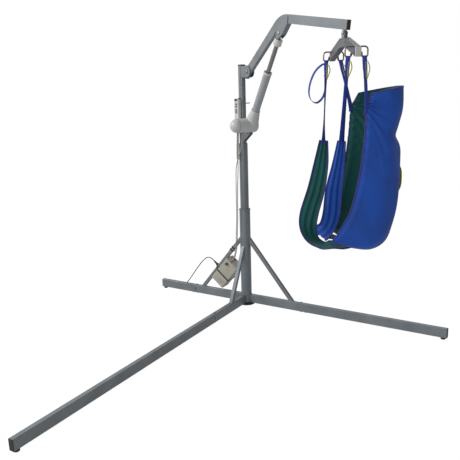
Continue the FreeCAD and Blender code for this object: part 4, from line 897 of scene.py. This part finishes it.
def build_welds(settings):
    """Weld beads where the braces meet the legs and the clevis meets the mast."""
    made = []
    bm = bmesh.new()
    for azimuth, reach, rise in ((math.pi, 0.375, 0.453), (0.0, 0.365, 0.453), (-math.pi / 2, 0.216, 0.412)):
        half = 0.0125 / math.sin(math.atan2(rise, reach))
        c, s = math.cos(azimuth), math.sin(azimuth)
        ring = []
        for k in range(40):
            a = 2 * math.pi * k / 40
            x = reach + (half + 0.0006) * math.copysign(abs(math.cos(a)) ** 0.35, math.cos(a))
            y = 0.0127 * math.copysign(abs(math.sin(a)) ** 0.35, math.sin(a))
            ring.append(Vector((x * c - y * s, x * s + y * c, 0.0722)))
        add_tube(bm, ring, 0.0019, 8, closed=True)
    made.append(new_piece("brace_welds", bm, "base", "frame_paint"))
    bm = bmesh.new()
    for y in (0.0191, -0.0191):
        x = math.sqrt(0.024 ** 2 - y * y)
        add_tube(bm, [boom_point(x, y, z) for z in (1.603, 1.62, 1.64, 1.66, 1.675)], 0.0019, 8)
    made.append(new_piece("clevis_welds", bm, "mast", "frame_paint"))
    return made


def build_finishes(settings):
    """Every CAD node gets the finish of its slot in the record."""
    slots = {part["node"]: part["material_slot"] for part in frame["record"]["subparts"]}
    for name, node in frame["nodes"].items():
        key = slots.get(name, "frame_paint")
        material = finish(OWN_FINISH.get(name, key))
        if not node.material_slots:
            node.data.materials.append(material)
        for place in node.material_slots:
            place.material = material


# ---- add-on ----

class HOIST_ClothSettings(bpy.types.PropertyGroup):
    cloth_thickness: bpy.props.FloatProperty(name="Cloth Thickness",
                                             description="Thickness of the sling's cloth",
                                             default=0.0032, min=0.001, unit="LENGTH")
    piping_radius: bpy.props.FloatProperty(name="Piping Radius", description="Radius of the sewn edge",
                                           default=0.0032, min=0.001, unit="LENGTH")
    webbing_width: bpy.props.FloatProperty(name="Webbing Width", description="Width of the straps",
                                           default=0.034, min=0.02, unit="LENGTH")
    webbing_thickness: bpy.props.FloatProperty(name="Webbing Thickness",
                                               description="Thickness of the straps",
                                               default=0.0024, min=0.001, unit="LENGTH")


class HOIST_CordSettings(bpy.types.PropertyGroup):
    curl_pitch: bpy.props.FloatProperty(name="Curl Pitch",
                                        description="Distance between turns of the handset cord",
                                        default=0.0078, min=0.006, unit="LENGTH")


class HOIST_StageSettings(bpy.types.PropertyGroup):
    key_power: bpy.props.FloatProperty(name="Key Power", description="Power of the main lamp", default=160.0,
                                       min=0.0, unit="POWER")
    ambient: bpy.props.FloatProperty(name="Ambient", description="Strength of the white surroundings",
                                     default=0.42, min=0.0)


def check_made(operator, made):
    if not made:
        raise RuntimeError(operator.bl_label + " made nothing")
    return {"FINISHED"}


class HOIST_OT_stage(bpy.types.Operator):
    """Make the camera, the lamps and the floor"""
    bl_idname = "hoist.stage"
    bl_label = "Stage"

    def execute(self, context):
        build_stage(context.scene.hoist_stage)
        return {"FINISHED"}


class HOIST_OT_mains_lead(bpy.types.Operator):
    """Lay the mains lead from the control box to its coil behind the leg"""
    bl_idname = "hoist.mains_lead"
    bl_label = "Mains Lead"

    def execute(self, context):
        return check_made(self, build_mains_lead(context.scene.hoist_cord))


class HOIST_OT_handset_cord(bpy.types.Operator):
    """Wind the curly cord under the handset"""
    bl_idname = "hoist.handset_cord"
    bl_label = "Handset Cord"

    def execute(self, context):
        return check_made(self, build_handset_cord(context.scene.hoist_cord))


class HOIST_OT_sling_body(bpy.types.Operator):
    """Hang the back and seat of the sling"""
    bl_idname = "hoist.sling_body"
    bl_label = "Sling Body"

    def execute(self, context):
        return check_made(self, build_sling_body(context.scene.hoist_cloth))


class HOIST_OT_sling_legs(bpy.types.Operator):
    """Hang the two leg pieces of the sling"""
    bl_idname = "hoist.sling_legs"
    bl_label = "Sling Leg Pieces"

    def execute(self, context):
        return check_made(self, build_sling_legs(context.scene.hoist_cloth))


class HOIST_OT_sling_straps(bpy.types.Operator):
    """Loop the webbing over the spreader's hooks"""
    bl_idname = "hoist.sling_straps"
    bl_label = "Sling Straps"

    def execute(self, context):
        return check_made(self, build_sling_straps(context.scene.hoist_cloth))


class HOIST_OT_sling_handle(bpy.types.Operator):
    """Sew the grip to the back of the sling"""
    bl_idname = "hoist.sling_handle"
    bl_label = "Sling Handle"

    def execute(self, context):
        return check_made(self, build_sling_handle(context.scene.hoist_cloth))


class HOIST_OT_handset_marks(bpy.types.Operator):
    """Put the arrows on the handset's keys"""
    bl_idname = "hoist.handset_marks"
    bl_label = "Handset Marks"

    def execute(self, context):
        return check_made(self, build_handset_marks(context.scene.hoist_cloth))


class HOIST_OT_box_details(bpy.types.Operator):
    """Add seams, lamps and sockets to the control box"""
    bl_idname = "hoist.box_details"
    bl_label = "Control Box Details"

    def execute(self, context):
        return check_made(self, build_box_details(context.scene.hoist_cloth))


class HOIST_OT_actuator_details(bpy.types.Operator):
    """Add seams and the rod wiper to the actuator"""
    bl_idname = "hoist.actuator_details"
    bl_label = "Actuator Details"

    def execute(self, context):
        return check_made(self, build_actuator_details(context.scene.hoist_cloth))


class HOIST_OT_stitches(bpy.types.Operator):
    """Sew the sling's edges"""
    bl_idname = "hoist.stitches"
    bl_label = "Sling Stitches"

    def execute(self, context):
        return check_made(self, build_sling_stitches(context.scene.hoist_cloth))


class HOIST_OT_hook_tips(bpy.types.Operator):
    """Put rubber tips on the hook wires"""
    bl_idname = "hoist.hook_tips"
    bl_label = "Hook Tips"

    def execute(self, context):
        return check_made(self, build_hook_tips(context.scene.hoist_cloth))


class HOIST_OT_welds(bpy.types.Operator):
    """Run the weld beads on the frame"""
    bl_idname = "hoist.welds"
    bl_label = "Welds"

    def execute(self, context):
        return check_made(self, build_welds(context.scene.hoist_cloth))


class HOIST_OT_finishes(bpy.types.Operator):
    """Give every hard part its paint, metal, plastic or rubber"""
    bl_idname = "hoist.finishes"
    bl_label = "Finishes"

    def execute(self, context):
        build_finishes(context.scene.hoist_cloth)
        return {"FINISHED"}


OPERATORS = (
    HOIST_OT_stage, HOIST_OT_mains_lead, HOIST_OT_handset_cord,
    HOIST_OT_finishes, HOIST_OT_sling_body, HOIST_OT_sling_legs,
    HOIST_OT_sling_straps, HOIST_OT_sling_handle, HOIST_OT_handset_marks,
    HOIST_OT_box_details, HOIST_OT_actuator_details, HOIST_OT_stitches,
    HOIST_OT_hook_tips, HOIST_OT_welds,
)
SETTINGS = {
    "hoist_cloth": HOIST_ClothSettings,
    "hoist_cord": HOIST_CordSettings,
    "hoist_stage": HOIST_StageSettings,
}


class HOIST_PT_panel(bpy.types.Panel):
    """The hoist's settings and steps, in build order"""
    bl_idname = "HOIST_PT_panel"
    bl_label = "Patient Lift Hoist"
    bl_space_type = "VIEW_3D"
    bl_region_type = "UI"
    bl_category = "Hoist"

    def draw(self, context):
        for name in SETTINGS:
            settings = getattr(context.scene, name)
            column = self.layout.column(align=True)
            for key in settings.__annotations__:
                column.prop(settings, key)
        for operator in OPERATORS:
            self.layout.operator(operator.bl_idname)


def register():
    for cls in (*SETTINGS.values(), *OPERATORS, HOIST_PT_panel):
        bpy.utils.register_class(cls)
    for name, cls in SETTINGS.items():
        setattr(bpy.types.Scene, name, bpy.props.PointerProperty(type=cls))


def unregister():
    for name in SETTINGS:
        delattr(bpy.types.Scene, name)
    for cls in reversed((*SETTINGS.values(), *OPERATORS, HOIST_PT_panel)):
        bpy.utils.unregister_class(cls)


def main():
    register()
    for operator in OPERATORS:
        group, name = operator.bl_idname.split(".")
        getattr(getattr(bpy.ops, group), name)()


if __name__ == "__main__":
    main()
